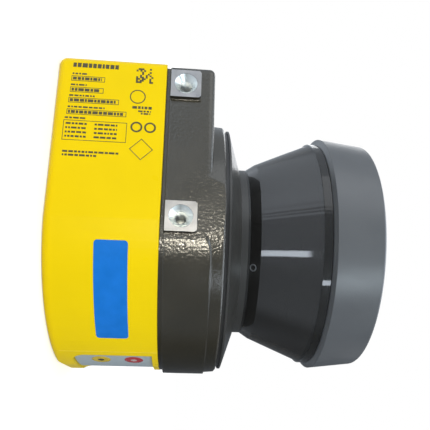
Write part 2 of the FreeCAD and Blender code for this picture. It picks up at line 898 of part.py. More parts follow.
def make_middle_housing():
    """Dark casting: spigot, recessed lip, rear block, drum, four threaded pads."""
    body = new_body("middle_housing")
    block = extrude(
        body, "XY", lip_top, block_top,
        lambda sketch: d_outline(sketch, block_half, drum_low_radius, block_rear),
    )
    corners = round_edges(
        body, block, S.corner_radius,
        lambda middle, edge: is_upright(edge) and near(middle.y, block_rear),
    )
    round_edges(
        body, corners, S.block_top_round,
        lambda middle, edge: near(middle.z, block_top) and middle.y > 0,
    )
    turn(body, [
        (0, lip_top),
        (drum_low_radius, lip_top),
        (drum_low_radius, drum_straight_top),
        (drum_top_radius, drum_top - S.drum_edge),
        (drum_top_radius - S.drum_edge, drum_top),
        (0, drum_top),
    ])
    reach = drum_low_radius + S.housing_wall
    for side in (1, -1):
        extrude(
            body, "XY", lip_top, drum_top,
            lambda sketch: rectangle(
                sketch, block_half * side, -base_rear, reach * side, base_rear
            ),
            cut=True,
        )

    extrude(
        body, "XY", S.base_height, lip_top,
        lambda sketch: d_outline(
            sketch, block_half - S.lip_inset, drum_low_radius - S.lip_inset, block_rear - S.lip_inset
        ),
    )
    extrude(body, "XY", spigot_low, S.base_height, lambda sketch: spigot_outline(sketch, ZERO))
    make_side_pads(body)

    shell_half = block_half - S.housing_wall
    shell_rear = block_rear - S.housing_wall
    shell_top = block_top - S.housing_roof
    drum_hollow = shell_half - S.housing_wall
    extrude(
        body, "XY", spigot_low, S.base_height,
        lambda sketch: spigot_outline(sketch, S.spigot_wall), cut=True,
    )
    spigot_inner = S.spigot_gap + S.spigot_wall
    extrude(
        body, "XY", S.base_height, lip_top,
        lambda sketch: d_outline(
            sketch, cavity_half - spigot_inner, cavity_round - spigot_inner,
            cavity_rear - spigot_inner, cavity_front - spigot_inner,
        ),
        cut=True,
    )
    extrude(
        body, "XY", lip_top, shell_top,
        lambda sketch: d_outline(sketch, shell_half, drum_low_radius - S.housing_wall, shell_rear), cut=True,
    )
    turn(body, [
        (0, shell_top - S.housing_roof),
        (drum_hollow, shell_top - S.housing_roof),
        (drum_hollow, drum_top - S.housing_roof),
        (0, drum_top - S.housing_roof),
    ], cut=True)
    extrude(
        body, "XY", drum_top - S.housing_roof * 2, drum_top,
        lambda sketch: circle(sketch, 0, 0, receiver_opening), cut=True,
    )
    make_pad_bosses(body, shell_half)
    column_top = lip_top + S.screw_grip

    def column_circles(sketch, radius):
        corner_circles(sketch, column_side, column_front, column_rear, radius)

    extrude(body, "XY", spigot_low, column_top, lambda sketch: column_circles(sketch, S.column_radius))
    extrude(
        body, "XY", spigot_low, column_top - S.screw_radius,
        lambda sketch: column_circles(sketch, S.screw_core), cut=True,
    )
    gasket_high = S.base_height - S.gasket_drop

    def groove(sketch):
        spigot_outline(sketch, ZERO)
        spigot_outline(sketch, S.gasket_depth)

    extrude(body, "XY", gasket_high - S.gasket_height, gasket_high, groove, cut=True)
    make_pad_threads(body)
    frame_screw_holes(body)


def pad_places():
    """Centre of each mounting pad as (front to rear place, level)."""
    for y in (pad_rear, pad_rear - S.pad_spacing):
        yield y, pad_level


def side_stations(side, inner, outer):
    """Start and end along +X of something on one side."""
    if side > 0:
        return inner, outer
    return -outer, -inner


def make_side_pads(body):
    """Square machined pads, proud of the casting, rounded at their upper corners."""
    half = S.pad_size / 2
    for side in (1, -1):
        start, end = side_stations(side, block_half - S.housing_wall, pad_plane)
        for y, level in pad_places():
            pad = extrude(
                body, "YZ", start, end,
                lambda sketch: rectangle(sketch, y - half, level - half, y + half, level + half),
            )
            round_edges(
                body, pad, S.pad_round,
                lambda middle, edge: edge.BoundBox.YLength < 0.01 and edge.BoundBox.ZLength < 0.01
                and near(middle.z, level + half) and abs(middle.y - y.value) < S.pad_size.value
                and middle.x * side > 0,
            )


def make_pad_bosses(body, shell_half):
    """Blocks inside the wall that give each thread its length."""
    half = S.thread_core + S.boss_margin + S.boss_margin
    for side in (1, -1):
        inner = pad_plane - S.thread_depth - S.boss_margin
        start, end = side_stations(side, inner, shell_half + S.boss_margin)
        for y, level in pad_places():
            extrude(
                body, "YZ", start, end,
                lambda sketch: rectangle(sketch, y - half, level - half, y + half, level + half),
            )


def make_pad_threads(body):
    """Threaded core holes with a countersink in each pad."""
    for side in (1, -1):
        start, end = side_stations(side, pad_plane - S.thread_depth, pad_plane)
        mouth = pad_plane.value * side
        for y, level in pad_places():
            sketch = sketch_on(body, "YZ", end if side > 0 else start)
            circle(sketch, y, level, S.thread_core)
            hole = body.newObject("PartDesign::Pocket", f"{body.Label}_thread")
            hole.Profile = sketch
            hole.Reversed = side < 0
            hole.setExpression("Length", S.thread_depth.text)
            doc.recompute()
            round_edges(
                body, hole, S.thread_countersink,
                lambda middle, edge: near(middle.x, mouth)
                and abs(edge.BoundBox.Center.y - y.value) < 0.1
                and near(edge.BoundBox.ZLength, S.thread_core * 2),
                kind="Chamfer",
            )


def frame_screw_holes(body):
    """Threaded holes in the drum's roof for the optics frame."""
    extrude(
        body, "XY", drum_top - S.housing_roof, drum_top,
        lambda sketch: corner_circles(
            sketch, frame_screw_side, frame_screw_side, frame_screw_side, S.cap_screw_core
        ),
        cut=True,
    )


def make_housing_fasteners():
    """Gasket round the spigot and the four long screws from below."""
    gasket = new_body("housing_gasket")
    high = S.base_height - S.gasket_drop

    def ring(sketch):
        base_cavity_outline(sketch)
        spigot_outline(sketch, S.gasket_depth)

    extrude(gasket, "XY", high - S.gasket_height, high, ring)

    screws = new_body("housing_screws")
    head_top = S.screw_sink
    head_low = head_top - S.screw_head_height
    tip = lip_top + S.screw_grip - S.screw_radius - S.screw_radius / 2

    def circles(sketch, radius):
        corner_circles(sketch, column_side, column_front, column_rear, radius)

    extrude(screws, "XY", head_low, head_top, lambda sketch: circles(sketch, S.screw_head))
    extrude(screws, "XY", head_low, spigot_low, lambda sketch: circles(sketch, S.screw_radius))
    extrude(screws, "XY", head_top, tip, lambda sketch: circles(sketch, S.screw_core))

    def sockets(sketch):
        for x in (column_side, -column_side):
            for y in (-column_front, column_rear):
                hexagon(sketch, x, y, S.screw_hex)

    extrude(screws, "XY", head_low, head_low + S.screw_hex_depth, sockets, cut=True)


def spine_directions():
    """Sine and cosine of half the spine's angle."""
    angle = S.frame_spine_half_angle
    radians = math.radians(angle.value)
    across = Size(math.sin(radians), f"sin({angle.text} * 1 deg)")
    along = Size(math.cos(radians), f"cos({angle.text} * 1 deg)")
    return across, along


def make_optics_frame():
    """Frame that carries the motor above the window: foot, rear spine, plate, hub and posts."""
    body = new_body("optics_frame")
    turn(body, [
        (tube_radius + S.frame_bore_gap, drum_top),
        (frame_foot_radius, drum_top),
        (frame_foot_radius, frame_foot_top),
        (tube_radius + S.frame_bore_gap, frame_foot_top),
    ])

    across, along = spine_directions()

    def spine(sketch):
        inner, outer = spine_inner, spine_outer
        outline(sketch, [
            (outer * across, outer * along, "x"), outer,
            (-(outer * across), outer * along, "x"),
            (-(inner * across), inner * along, "x"), inner,
            (inner * across, inner * along, "x"),
        ])

    extrude(body, "XY", frame_foot_top - S.frame_foot / 2, frame_plate_top - S.frame_plate / 2, spine)
    turn(body, [
        (S.bearing_radius, frame_plate_level),
        (frame_plate_radius, frame_plate_level),
        (frame_plate_radius, frame_plate_top),
        (S.bearing_radius, frame_plate_top),
    ])
    turn(body, [
        (S.bearing_radius, frame_plate_level),
        (S.hub_radius, frame_plate_level),
        (S.hub_radius, hub_high),
        (S.bearing_radius, hub_high),
    ])
    side = post_side
    extrude(
        body, "XY", frame_plate_top - S.frame_plate / 2, post_top,
        lambda sketch: corner_circles(sketch, side, side, side, S.frame_post_radius),
    )
    extrude(
        body, "XY", post_top - S.cap_screw_length, post_top,
        lambda sketch: corner_circles(sketch, side, side, side, S.cap_screw_core), cut=True,
    )
    foot_side = frame_screw_side
    head_low = frame_foot_top - S.frame_screw_head_height
    extrude(
        body, "XY", drum_top, frame_foot_top,
        lambda sketch: corner_circles(sketch, foot_side, foot_side, foot_side, S.cap_screw_clearance),
        cut=True,
    )
    extrude(
        body, "XY", head_low, frame_foot_top,
        lambda sketch: corner_circles(
            sketch, foot_side, foot_side, foot_side, S.frame_screw_head + S.cap_gap
        ),
        cut=True,
    )

    screws = new_body("frame_screws")
    extrude(
        screws, "XY", head_low, frame_foot_top,
        lambda sketch: corner_circles(sketch, foot_side, foot_side, foot_side, S.frame_screw_head),
    )
    low = frame_foot_top - S.frame_screw_length
    extrude(
        screws, "XY", low, head_low,
        lambda sketch: corner_circles(
            sketch, foot_side, foot_side, foot_side, S.cap_screw_core - S.bearing_fit
        ),
    )


def make_receiver():
    """Receiving tube under the mirror: tube with webs, lens, ring, laser, board and diode."""
    outer = tube_radius
    inner = outer - S.tube_wall
    ledge = inner - S.lens_ledge
    board_top = tube_low + S.board_thickness
    lens_top = lens_level + S.lens_edge
    tube_top = frame_foot_top + S.tube_lip_height
    collar_low = laser_low + S.web_height
    tube = new_body("receiver_tube")
    turn(tube, [
        (inner, tube_low),
        (outer, tube_low),
        (outer, frame_foot_top),
        (outer + S.tube_lip, frame_foot_top),
        (outer + S.tube_lip, tube_top),
        (inner, tube_top),
        (inner, lens_level),
        (ledge, lens_level),
        (ledge, lens_level - S.lens_ledge),
        (inner, lens_level - S.lens_ledge * 2),
    ])
    turn(tube, [
        (S.laser_radius + S.lens_gap, laser_low),
        (S.laser_collar, laser_low),
        (S.laser_collar, collar_low),
        (S.laser_radius + S.lens_gap, collar_low),
    ])
    half = S.web_thickness / 2
    reach = inner + S.tube_wall / 2
    start = S.laser_collar - S.laser_wall / 2
    for side in (1, -1):
        extrude(
            tube, "XY", laser_low, collar_low,
            lambda sketch: rectangle(sketch, start * side, -half, reach * side, half),
        )
        extrude(
            tube, "XY", laser_low, collar_low,
            lambda sketch: rectangle(sketch, -half, start * side, half, reach * side),
        )

    lens = new_body("receiver_lens")
    lens_bore = S.laser_radius + S.lens_gap * 2
    turn(lens, [
        (lens_bore, lens_level),
        (inner - S.lens_gap, lens_level),
        (inner - S.lens_gap, lens_top),
        (inner * S.lens_shoulder_share, lens_top + S.lens_shoulder_rise),
        (inner * S.lens_middle_share, lens_top + S.lens_middle_rise),
        (lens_bore, lens_top + S.lens_bulge),
    ])
    ring = new_body("lens_ring")
    turn(ring, [
        (inner - S.lens_ring, lens_top + S.lens_ring_seat),
        (inner - S.lens_gap, lens_top),
        (inner - S.lens_gap, lens_top + S.lens_ring_rise),
        (inner - S.lens_ring, lens_top + S.lens_ring_rise),
    ])
    laser = new_body("laser_module")
    laser_top = laser_low + S.laser_length
    turn(laser, [
        (0, laser_low),
        (S.laser_radius, laser_low),
        (S.laser_radius, laser_top),
        (S.laser_aperture, laser_top),
        (S.laser_aperture, laser_top - S.laser_wall),
        (0, laser_top - S.laser_wall),
    ])
    turn(laser, [
        (S.laser_aperture, collar_low),
        (S.laser_collar, collar_low),
        (S.laser_collar, collar_low + S.laser_collar_height),
        (S.laser_aperture, collar_low + S.laser_collar_height),
    ])
    board = new_body("receiver_board")
    turn(board, [
        (0, tube_low),
        (inner - S.lens_gap, tube_low),
        (inner - S.lens_gap, board_top),
        (0, board_top),
    ])
    diode = new_body("receiver_diode")
    turn(diode, [
        (0, board_top),
        (S.diode_radius, board_top),
        (S.diode_radius, board_top + S.diode_height),
        (0, board_top + S.diode_height),
    ])


def make_monitor_board():
    """Ring board with six light barriers that look up through the window wall."""
    body = new_body("window_monitor_board")
    top = frame_foot_top + S.monitor_board
    turn(body, [
        (monitor_inner, frame_foot_top),
        (monitor_inner + S.monitor_width, frame_foot_top),
        (monitor_inner + S.monitor_width, top),
        (monitor_inner, top),
    ])

    across, along = spine_directions()
    half = spine_outer * across + S.monitor_clearance
    front = spine_inner * along - S.monitor_clearance
    extrude(
        body, "XY", frame_foot_top, top,
        lambda sketch: rectangle(sketch, -half, front, half, frame_foot_radius), cut=True,
    )

    def eyes(sketch):
        for x, y in polar_points(BARRIER_EYES, monitor_inner + S.monitor_width / 2, BARRIER_EYE_START):
            if y.value < front.value:
                circle(sketch, x, y, S.monitor_eye)

    extrude(body, "XY", top - S.monitor_board / 2, top + S.monitor_eye_height, eyes)


def make_optics_cover():
    """Dark window: flange, narrow neck, widening cone, band and a spigot for the cap."""
    wall = S.cover_wall
    strip = strip_radius
    cover = new_body("optics_cover")
    turn(cover, [
        (strip, drum_top),
        (strip, strip_top),
        (flange_radius, strip_top),
        (flange_radius, flange_top),
        (neck_radius, neck_low),
        (neck_radius, neck_high),
        (foot_radius, foot_level),
        (window_radius, window_top),
        (S.cover_band_radius, window_top),
        (S.cover_band_radius, cap_low),
        (spigot_radius, cap_low),
        (spigot_radius, cover_spigot_top),
        (spigot_radius - wall, cover_spigot_top),
        (window_radius - wall, window_top),
        (foot_radius - wall, foot_level),
        (neck_radius - wall, neck_high),
        (neck_radius - wall, neck_low - wall),
        (strip - wall - wall, drum_top + S.cover_seal + S.cover_strip_inset),
        (strip - wall, drum_top + S.cover_seal),
        (strip - wall, drum_top),
    ])
    seal = new_body("cover_seal")
    outer = strip - wall
    turn(seal, [
        (outer - S.cover_seal_width, drum_top),
        (outer, drum_top),
        (outer, drum_top + S.cover_seal),
        (outer - S.cover_seal_width, drum_top + S.cover_seal),
    ])


def make_head_cap():
    """Cap over the motor with a chamfered lower lip, tapered side and four screws."""
    cap = new_body("head_cap")
    seat = spigot_radius + S.cap_gap
    inside = spigot_radius - S.cap_seal
    step = cover_spigot_top + S.cap_seal
    profile = turn(cap, [
        (seat, cap_low + S.cap_gap),
        (S.cover_band_radius - S.cap_gap, cap_low + S.cap_gap),
        (S.cover_band_radius + S.cap_lip, cap_low + S.cap_lip),
        (cap_lower_radius, cap_low + S.cap_chamfer),
        (cap_lower_radius - S.cap_taper, cap_top),
        (0, cap_top),
        (0, cap_inside),
        (inside, cap_inside),
        (inside, step),
        (seat, step),
    ])
    round_edges(
        cap, profile, S.cap_edge,
        lambda middle, edge: near(middle.z, cap_top) and edge.BoundBox.XLength > 1,
    )
    side = post_side

    def circles(sketch, radius):
        corner_circles(sketch, side, side, side, radius)

    extrude(
        cap, "XY", post_top, cap_inside + S.cap_wall / 2,
        lambda sketch: circles(sketch, S.cap_boss_radius),
    )
    extrude(cap, "XY", post_top, cap_top, lambda sketch: circles(sketch, S.cap_screw_clearance), cut=True)
    head_height = S.cap_screw_head - S.cap_screw_clearance
    head_low = cap_top - S.cap_screw_sink - head_height
    extrude(
        cap, "XY", head_low, cap_top,
        lambda sketch: circles(sketch, S.cap_screw_head + S.cap_gap), cut=True,
    )

    seal = new_body("cap_seal")
    turn(seal, [
        (inside, cover_spigot_top),
        (spigot_radius, cover_spigot_top),
        (spigot_radius, step),
        (inside, step),
    ])

    screws = new_body("cap_screws")
    extrude(
        screws, "XY", head_low, cap_top - S.cap_screw_sink,
        lambda sketch: circles(sketch, S.cap_screw_head),
    )
    extrude(
        screws, "XY", post_top - S.cap_screw_length + S.cap_screw_radius, head_low,
        lambda sketch: circles(sketch, S.cap_screw_core - S.bearing_fit),
    )

    def sockets(sketch):
        for x in (side, -side):
            for y in (side, -side):
                hexagon(sketch, x, y, S.cap_screw_core)

    top = cap_top - S.cap_screw_sink
    extrude(screws, "XY", top - head_height / 2, top, sockets, cut=True)


def make_motor():
    """Motor in the head: bearings in the hub, wound stator, drive board and encoder sensor."""
    bearings = new_body("motor_bearings")
    bore = S.shaft_radius + S.bearing_fit
    for low in (frame_plate_level, hub_high - S.bearing_height):
        turn(bearings, [
            (bore, low),
            (S.bearing_radius, low),
            (S.bearing_radius, low + S.bearing_height),
            (bore, low + S.bearing_height),
        ])

    stator = new_body("motor_stator")
    low = frame_plate_top + S.rotor_lift
    high = low + S.stator_height
    turn(stator, [
        (S.hub_radius, frame_plate_top),
        (S.stator_inner_teeth, frame_plate_top),
        (S.stator_inner_teeth, low),
        (S.stator_radius, low),
        (S.stator_radius, high),
        (S.hub_radius, high),
    ])
    slot = extrude(
        stator, "XY", low, high,
        lambda sketch: rectangle(
            sketch, S.stator_inner_teeth, -(S.stator_slot / 2), bell_inner, S.stator_slot / 2
        ),
        cut=True,
    )
    around = stator.newObject("PartDesign::PolarPattern", "stator_slots")
    around.Originals = [slot]
    around.Axis = (slot.Profile[0], ["N_Axis"])
    around.Angle = 360
    around.Occurrences = STATOR_SLOTS
    stator.Tip = around
    doc.recompute()

    board = new_body("motor_board")
    turn(board, [
        (motor_board_inner, frame_plate_top),
        (motor_board_inner + S.motor_board_width, frame_plate_top),
        (motor_board_inner + S.motor_board_width, frame_plate_top + S.board_thickness),
        (motor_board_inner, frame_plate_top + S.board_thickness),
    ])

    sensor = new_body("encoder_sensor")
    disc_low = bell_top
    disc_high = disc_low + S.encoder_thickness
    half = S.encoder_body / 2
    inner = encoder_radius - S.encoder_reach / 2
    outer = encoder_radius + S.encoder_reach
    back = encoder_radius + S.encoder_gap
    mouth_low = disc_low - S.encoder_gap
    mouth_high = disc_high + S.encoder_gap
    profile = [
        (back, frame_plate_top + S.board_thickness),
        (outer, frame_plate_top + S.board_thickness),
        (outer, mouth_high + S.encoder_jaw),
        (inner, mouth_high + S.encoder_jaw),
        (inner, mouth_high),
        (back, mouth_high),
        (back, mouth_low),
        (inner, mouth_low),
        (inner, mouth_low - S.encoder_jaw),
        (back, mouth_low - S.encoder_jaw),
    ]
    extrude(sensor, "XZ", -half, half, lambda sketch: outline(sketch, profile))


def make_rotor():
    """Turning group: magnet bell on its shaft, encoder disc, mirror carrier and mirror."""
    rotor = new_body("motor_rotor")
    stator_low = frame_plate_top + S.rotor_lift
    inner, outer = bell_inner, bell_outer
    turn(rotor, [
        (0, shaft_low),
        (S.shaft_radius, shaft_low),
        (S.shaft_radius, bell_low),
        (inner, bell_low),
        (inner, stator_low),
        (outer, stator_low),
        (outer, bell_top),
        (0, bell_top),
    ])

    disc = new_body("encoder_disc")
    disc_high = bell_top + S.encoder_thickness
    turn(disc, [
        (S.encoder_inner, bell_top),
        (encoder_radius, bell_top),
        (encoder_radius, disc_high),
        (S.encoder_inner, disc_high),
    ])
    tooth = extrude(
        disc, "XY", bell_top, disc_high,
        lambda sketch: rectangle(
            sketch, encoder_radius - S.encoder_slot * 2, -(S.encoder_slot / 2),
            encoder_radius + S.encoder_slot, S.encoder_slot / 2,
        ),
        cut=True,
    )
    around = disc.newObject("PartDesign::PolarPattern", "encoder_slots")
    around.Originals = [tooth]
    around.Axis = (tooth.Profile[0], ["N_Axis"])
    around.Angle = 360
    around.Occurrences = ENCODER_SLOTS
    disc.Tip = around
    doc.recompute()

    make_mirror()


def make_mirror():
    """Carrier cut at forty-five degrees through the scan axis, with the mirror on that face."""
    carrier = new_body("mirror_carrier")
    turn(carrier, [
        (0, carrier_low),
        (S.carrier_radius, carrier_low),
        (S.carrier_radius, carrier_high),
        (S.shaft_radius + S.lens_gap, carrier_high),
        (S.shaft_radius + S.lens_gap, shaft_low),
        (0, shaft_low),
    ])
    back = mirror_centre + S.mirror_thickness
    reach = S.carrier_radius * 2

    def wedge(sketch):
        outline(sketch, [
            (-reach, back + reach),
            (-reach, back - reach * 2),
            (reach * 2, back - reach * 2),
        ])

    extrude(carrier, "YZ", -reach, reach, wedge, cut=True)

    mirror = new_body("scan_mirror")
    edge = S.carrier_radius - S.mirror_margin
    top = carrier_high - S.mirror_margin
    turn(mirror, [
        (0, carrier_low),
        (edge, carrier_low),
        (edge, top),
        (0, top),
    ])
    extrude(mirror, "YZ", -reach, reach, wedge_above, cut=True)
    extrude(mirror, "YZ", -reach, reach, wedge_below, cut=True)


def wedge_above(sketch):
    """Everything above the mirror's back."""
    reach = S.carrier_radius * 2
    back = mirror_centre + S.mirror_thickness
    outline(sketch, [
        (-reach, back + reach),
        (reach * 2, back - reach * 2),
        (reach * 2, back + reach * 2),
        (-reach, back + reach * 2),
    ])


def wedge_below(sketch):
    """Everything below the mirror's face."""
    reach = S.carrier_radius * 2
    face = mirror_centre
    outline(sketch, [
        (-reach, face + reach),
        (-reach, face - reach * 2),
        (reach * 2, face - reach * 2),
    ])


def make_reference_target():
    """Small plate on the spine that the beam crosses behind the measured field."""
    body = new_body("reference_target")
    half = S.target_width / 2
    seat = half_chord(spine_inner, half)
    level = mirror_centre - S.target_drop
    extrude(
        body, "XY", level, level + S.target_height,
        lambda sketch: rectangle(sketch, -half, seat - S.target_depth, half, seat),
    )


make_base_housing()
make_display()
make_base_electronics()
make_connectors()
make_middle_housing()
make_housing_fasteners()
make_optics_frame()
make_receiver()
make_monitor_board()
make_optics_cover()
make_head_cap()
make_motor()
make_rotor()
make_reference_target()
doc.recompute()

# Every feature is checked before anything is written
failed = [item.Name for item in doc.Objects if "Invalid" in item.State or "Error" in item.State]
if failed:
    raise RuntimeError(f"failed features: {failed}")
for body in bodies:
    if body.Shape.isNull() or not body.Shape.isValid():
        raise RuntimeError(f"bad shape: {body.Label}")
for body in bodies:
    body.Shape.exportStep(f"parts/{body.Label}.step")
    box = body.Shape.BoundBox
    print(
        f"{body.Label}: {len(body.Shape.Solids)} solids, volume {body.Shape.Volume:.1f},",
        f"x {box.XMin:.2f} {box.XMax:.2f}, y {box.YMin:.2f} {box.YMax:.2f}, z {box.ZMin:.2f} {box.ZMax:.2f}",
    )
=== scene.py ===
# %% [markdown]
# Safety laser scanner
#
# The object is a compact safety laser scanner: a yellow base, a dark cast housing with four
# silver mounting pads, a waisted gloss cover that lets infrared light through, and a grey cap.
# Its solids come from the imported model, in metres and already in place. This lesson gives them
# camera, light and finishes, and adds the small things that sit on them.

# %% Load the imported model
import json
import math
import random

import bmesh
import bpy
from mathutils import Matrix, Vector


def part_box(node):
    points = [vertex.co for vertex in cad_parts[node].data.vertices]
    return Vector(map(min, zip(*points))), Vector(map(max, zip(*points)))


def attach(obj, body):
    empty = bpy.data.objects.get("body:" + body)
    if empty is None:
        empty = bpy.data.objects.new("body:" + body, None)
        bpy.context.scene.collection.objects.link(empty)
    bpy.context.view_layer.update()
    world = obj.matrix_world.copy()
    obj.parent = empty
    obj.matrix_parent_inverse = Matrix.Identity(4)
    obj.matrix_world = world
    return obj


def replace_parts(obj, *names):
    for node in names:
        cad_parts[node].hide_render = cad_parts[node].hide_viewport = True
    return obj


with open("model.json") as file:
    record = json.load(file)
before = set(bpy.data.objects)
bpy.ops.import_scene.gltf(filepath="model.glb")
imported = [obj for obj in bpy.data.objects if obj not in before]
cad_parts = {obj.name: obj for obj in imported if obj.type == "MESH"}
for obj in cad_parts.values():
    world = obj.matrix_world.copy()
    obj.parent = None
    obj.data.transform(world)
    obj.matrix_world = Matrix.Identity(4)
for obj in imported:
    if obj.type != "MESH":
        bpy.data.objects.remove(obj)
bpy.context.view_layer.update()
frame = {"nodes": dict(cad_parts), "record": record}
nodes = frame["nodes"]
MM = 0.001

# %% [markdown]
# Camera
#
# The photograph shows the scanner on its side, so the camera is rolled by a quarter turn while
# the scanner keeps its working position. Place, direction, focal length and the shift of the
# frame come from matching measured points of the solids with the same points in the picture.

# %% Camera
FRAME_SIDE = 430
FOCAL = 536.6
CENTRE_ACROSS = 227.9
CENTRE_DOWN = 278.2
SENSOR = 36.0
CAMERA_PLACE = Vector((-215.29, -69.64, 47.22)) * MM
CAMERA_RIGHT = Vector((-0.0836, 0.0148, 0.9964))
CAMERA_UP = Vector((-0.2573, 0.9657, -0.0360))

right = CAMERA_RIGHT.normalized()
up = (CAMERA_UP - CAMERA_UP.dot(right) * right).normalized()
back = right.cross(up)
lens = bpy.data.cameras.new("photo_camera")
lens.sensor_width = SENSOR
lens.lens = FOCAL / FRAME_SIDE * SENSOR
lens.shift_x = 0.5 - CENTRE_ACROSS / FRAME_SIDE
lens.shift_y = CENTRE_DOWN / FRAME_SIDE - 0.5
lens.clip_start = 0.01
camera = bpy.data.objects.new("photo_camera", lens)
turned = Matrix((right, up, back)).transposed().to_4x4()
camera.matrix_world = Matrix.Translation(CAMERA_PLACE) @ turned
bpy.context.scene.collection.objects.link(camera)
bpy.context.scene.camera = camera
bpy.context.scene.view_settings.view_transform = "Standard"
print("camera lens", round(lens.lens, 1), "mm, shift", round(lens.shift_x, 3), round(lens.shift_y, 3))

# %% [markdown]
# Node helpers
#
# Every finish is a small node tree. These helpers add one node each, so that a finish reads as
# a list of what it does. Patterns are read in object coordinates, which are metres here, so a
# pattern's size is its real size.


# %% Node helpers
def add(tree, kind, **settings):
    """Adds a node and sets its properties."""
    made = tree.nodes.new(kind)
    for key, value in settings.items():
        setattr(made, key, value)
    return made


def feed(tree, socket, value):
    """Links an output to a socket, or sets the socket to a plain value."""
    if isinstance(value, bpy.types.NodeSocket):
        tree.links.new(value, socket)
    else:
        socket.default_value = value


def place(tree):
    """The point on the object, in metres."""
    return add(tree, "ShaderNodeTexCoord").outputs["Object"]


def parts_of(tree, vector):
    """The x, y and z of a vector."""
    split = add(tree, "ShaderNodeSeparateXYZ")
    feed(tree, split.inputs[0], vector)
    return split.outputs


def noise(tree, size, detail=3.0, stretch=(1, 1, 1)):
    """Soft mottle whose blotches are about size wide."""
    turn = add(tree, "ShaderNodeMapping")
    feed(tree, turn.inputs["Vector"], place(tree))
    turn.inputs["Scale"].default_value = stretch
    made = add(tree, "ShaderNodeTexNoise")
    feed(tree, made.inputs["Vector"], turn.outputs[0])
    made.inputs["Scale"].default_value = 1 / size
    made.inputs["Detail"].default_value = detail
    return made.outputs["Fac"]


def spread(tree, value, low, high, start=0.3, end=0.7):
    """Maps the usual range of a pattern to low and high."""
    made = add(tree, "ShaderNodeMapRange", clamp=True)
    entries = {"Value": value, "From Min": start, "From Max": end, "To Min": low, "To Max": high}
    for name, entry in entries.items():
        feed(tree, made.inputs[name], entry)
    return made.outputs[0]


print("helpers for nodes, links and patterns are ready")

# %% [markdown]
# Finish helper
#
# A finish mixes two close colours, varies its gloss and gives the surface a fine relief. Real
# edges are never quite sharp, so a finish may also round them, in the shading alone.


# %% Finish helper
def tint(tree, amount, first, second):
    """A colour between two."""
    made = add(tree, "ShaderNodeMix", data_type="RGBA")
    feed(tree, made.inputs[0], amount)
    feed(tree, made.inputs[6], (*first, 1) if isinstance(first, tuple) else first)
    feed(tree, made.inputs[7], (*second, 1) if isinstance(second, tuple) else second)
    return made.outputs[2]


def relief(tree, value, depth, under=None):
    """A fine relief of that depth in metres."""
    made = add(tree, "ShaderNodeBump")
    made.inputs["Strength"].default_value = 1.0
    made.inputs["Distance"].default_value = depth
    feed(tree, made.inputs["Height"], value)
    if under is not None:
        feed(tree, made.inputs["Normal"], under)
    return made.outputs[0]


def soft_edge(tree, reach):
    """A normal that rounds sharp edges over a small reach in metres."""
    made = add(tree, "ShaderNodeBevel", samples=4)
    made.inputs["Radius"].default_value = reach
    return made.outputs[0]


def sums(tree, operation, first, second):
    """One step of arithmetic on a pattern."""
    made = add(tree, "ShaderNodeMath", operation=operation)
    feed(tree, made.inputs[0], first)
    feed(tree, made.inputs[1], second)
    return made.outputs[0]


def finish(name, dark, light, mottle, gloss, grain, depth, metallic=0.0, detail=3.0, edge=0.0):
    """A finish with mottled colour, uneven gloss, a fine relief and softened edges."""
    material = bpy.data.materials.new(name)
    material.use_nodes = True
    tree = material.node_tree
    shader = tree.nodes["Principled BSDF"]
    colour = tint(tree, spread(tree, noise(tree, mottle), 0, 1), dark, light)
    feed(tree, shader.inputs["Base Color"], colour)
    feed(tree, shader.inputs["Roughness"], spread(tree, noise(tree, mottle * 0.6), *gloss))
    under = soft_edge(tree, edge) if edge else None
    feed(tree, shader.inputs["Normal"], relief(tree, noise(tree, grain, detail), depth, under))
    shader.inputs["Metallic"].default_value = metallic
    return material


print("a finish has two colours, a gloss, a relief and soft edges")

# %% [markdown]
# Mirrored room
#
# Gloss surfaces mirror what stands around them: here a grey room with a pale floor, darker
# towards the front, a white card with torn edges at one side, two small lamps, and a bright
# patch of ceiling that draws a line along rounded edges. A studio uses cards, flags and strip
# lamps for this. Here the world paints them by direction, so they cost no lamps.

# %% Mirrored room
ROOM = 0.5
PALE_FLOOR = 1.1
FLOOR_EDGE = (-0.22, -0.12)
DUSK = 0.7
DUSK_EDGE = (-0.5, 0.1)
REAR_SHADE = 0.7
ZENITH = 4.0
ZENITH_EDGE = (0.8, 0.95)

world = bpy.data.worlds.new("studio_surroundings")
world.use_nodes = True
bpy.context.scene.world = world
air = world.node_tree
direction = add(air, "ShaderNodeTexCoord").outputs["Generated"]
ways = parts_of(air, direction)
room = spread(air, spread(air, ways["Z"], 1, 0, *FLOOR_EDGE), ROOM, PALE_FLOOR, 0, 1)
dusk = spread(air, ways["Y"], DUSK, 1, *DUSK_EDGE)
behind = spread(air, ways["X"], 0, REAR_SHADE, 0.0, 0.3)
behind = sums(air, "MULTIPLY", behind, spread(air, ways["Y"], 1, 0, 0.1, 0.35))
dusk = sums(air, "MULTIPLY", dusk, sums(air, "SUBTRACT", 1.0, behind))
room = sums(air, "MULTIPLY", room, dusk)
print("room", ROOM, "pale floor", PALE_FLOOR, "ceiling", ZENITH)

# %% [markdown]
# Card and small lamps in the room
#
# The card fills one side of the room. Stretched noise tears its edge into streaks, as in the
# photographed window. The two small lamps are boxes of directions with soft borders.

# %% Card and small lamps in the room
CARD = 2.3
CARD_EDGE = 0.37
CARD_BORDER = 0.03
STREAK_SHAPE = (0.8, 40, 0.8)
STREAK_REACH = (0.5, 0.62)
STREAK_RANGE = (0.42, 0.56)
STREAK_DEPTH = 0.55
LAMP = 14.0
LAMP_BORDER = 0.008
STRIPS = (
    (Vector((-0.78, -0.245, -0.585)), Vector((0.17, 0.045, 0.034))),
    (Vector((-0.686, -0.686, 0.242)), Vector((0.03, 0.03, 0.02))),
)

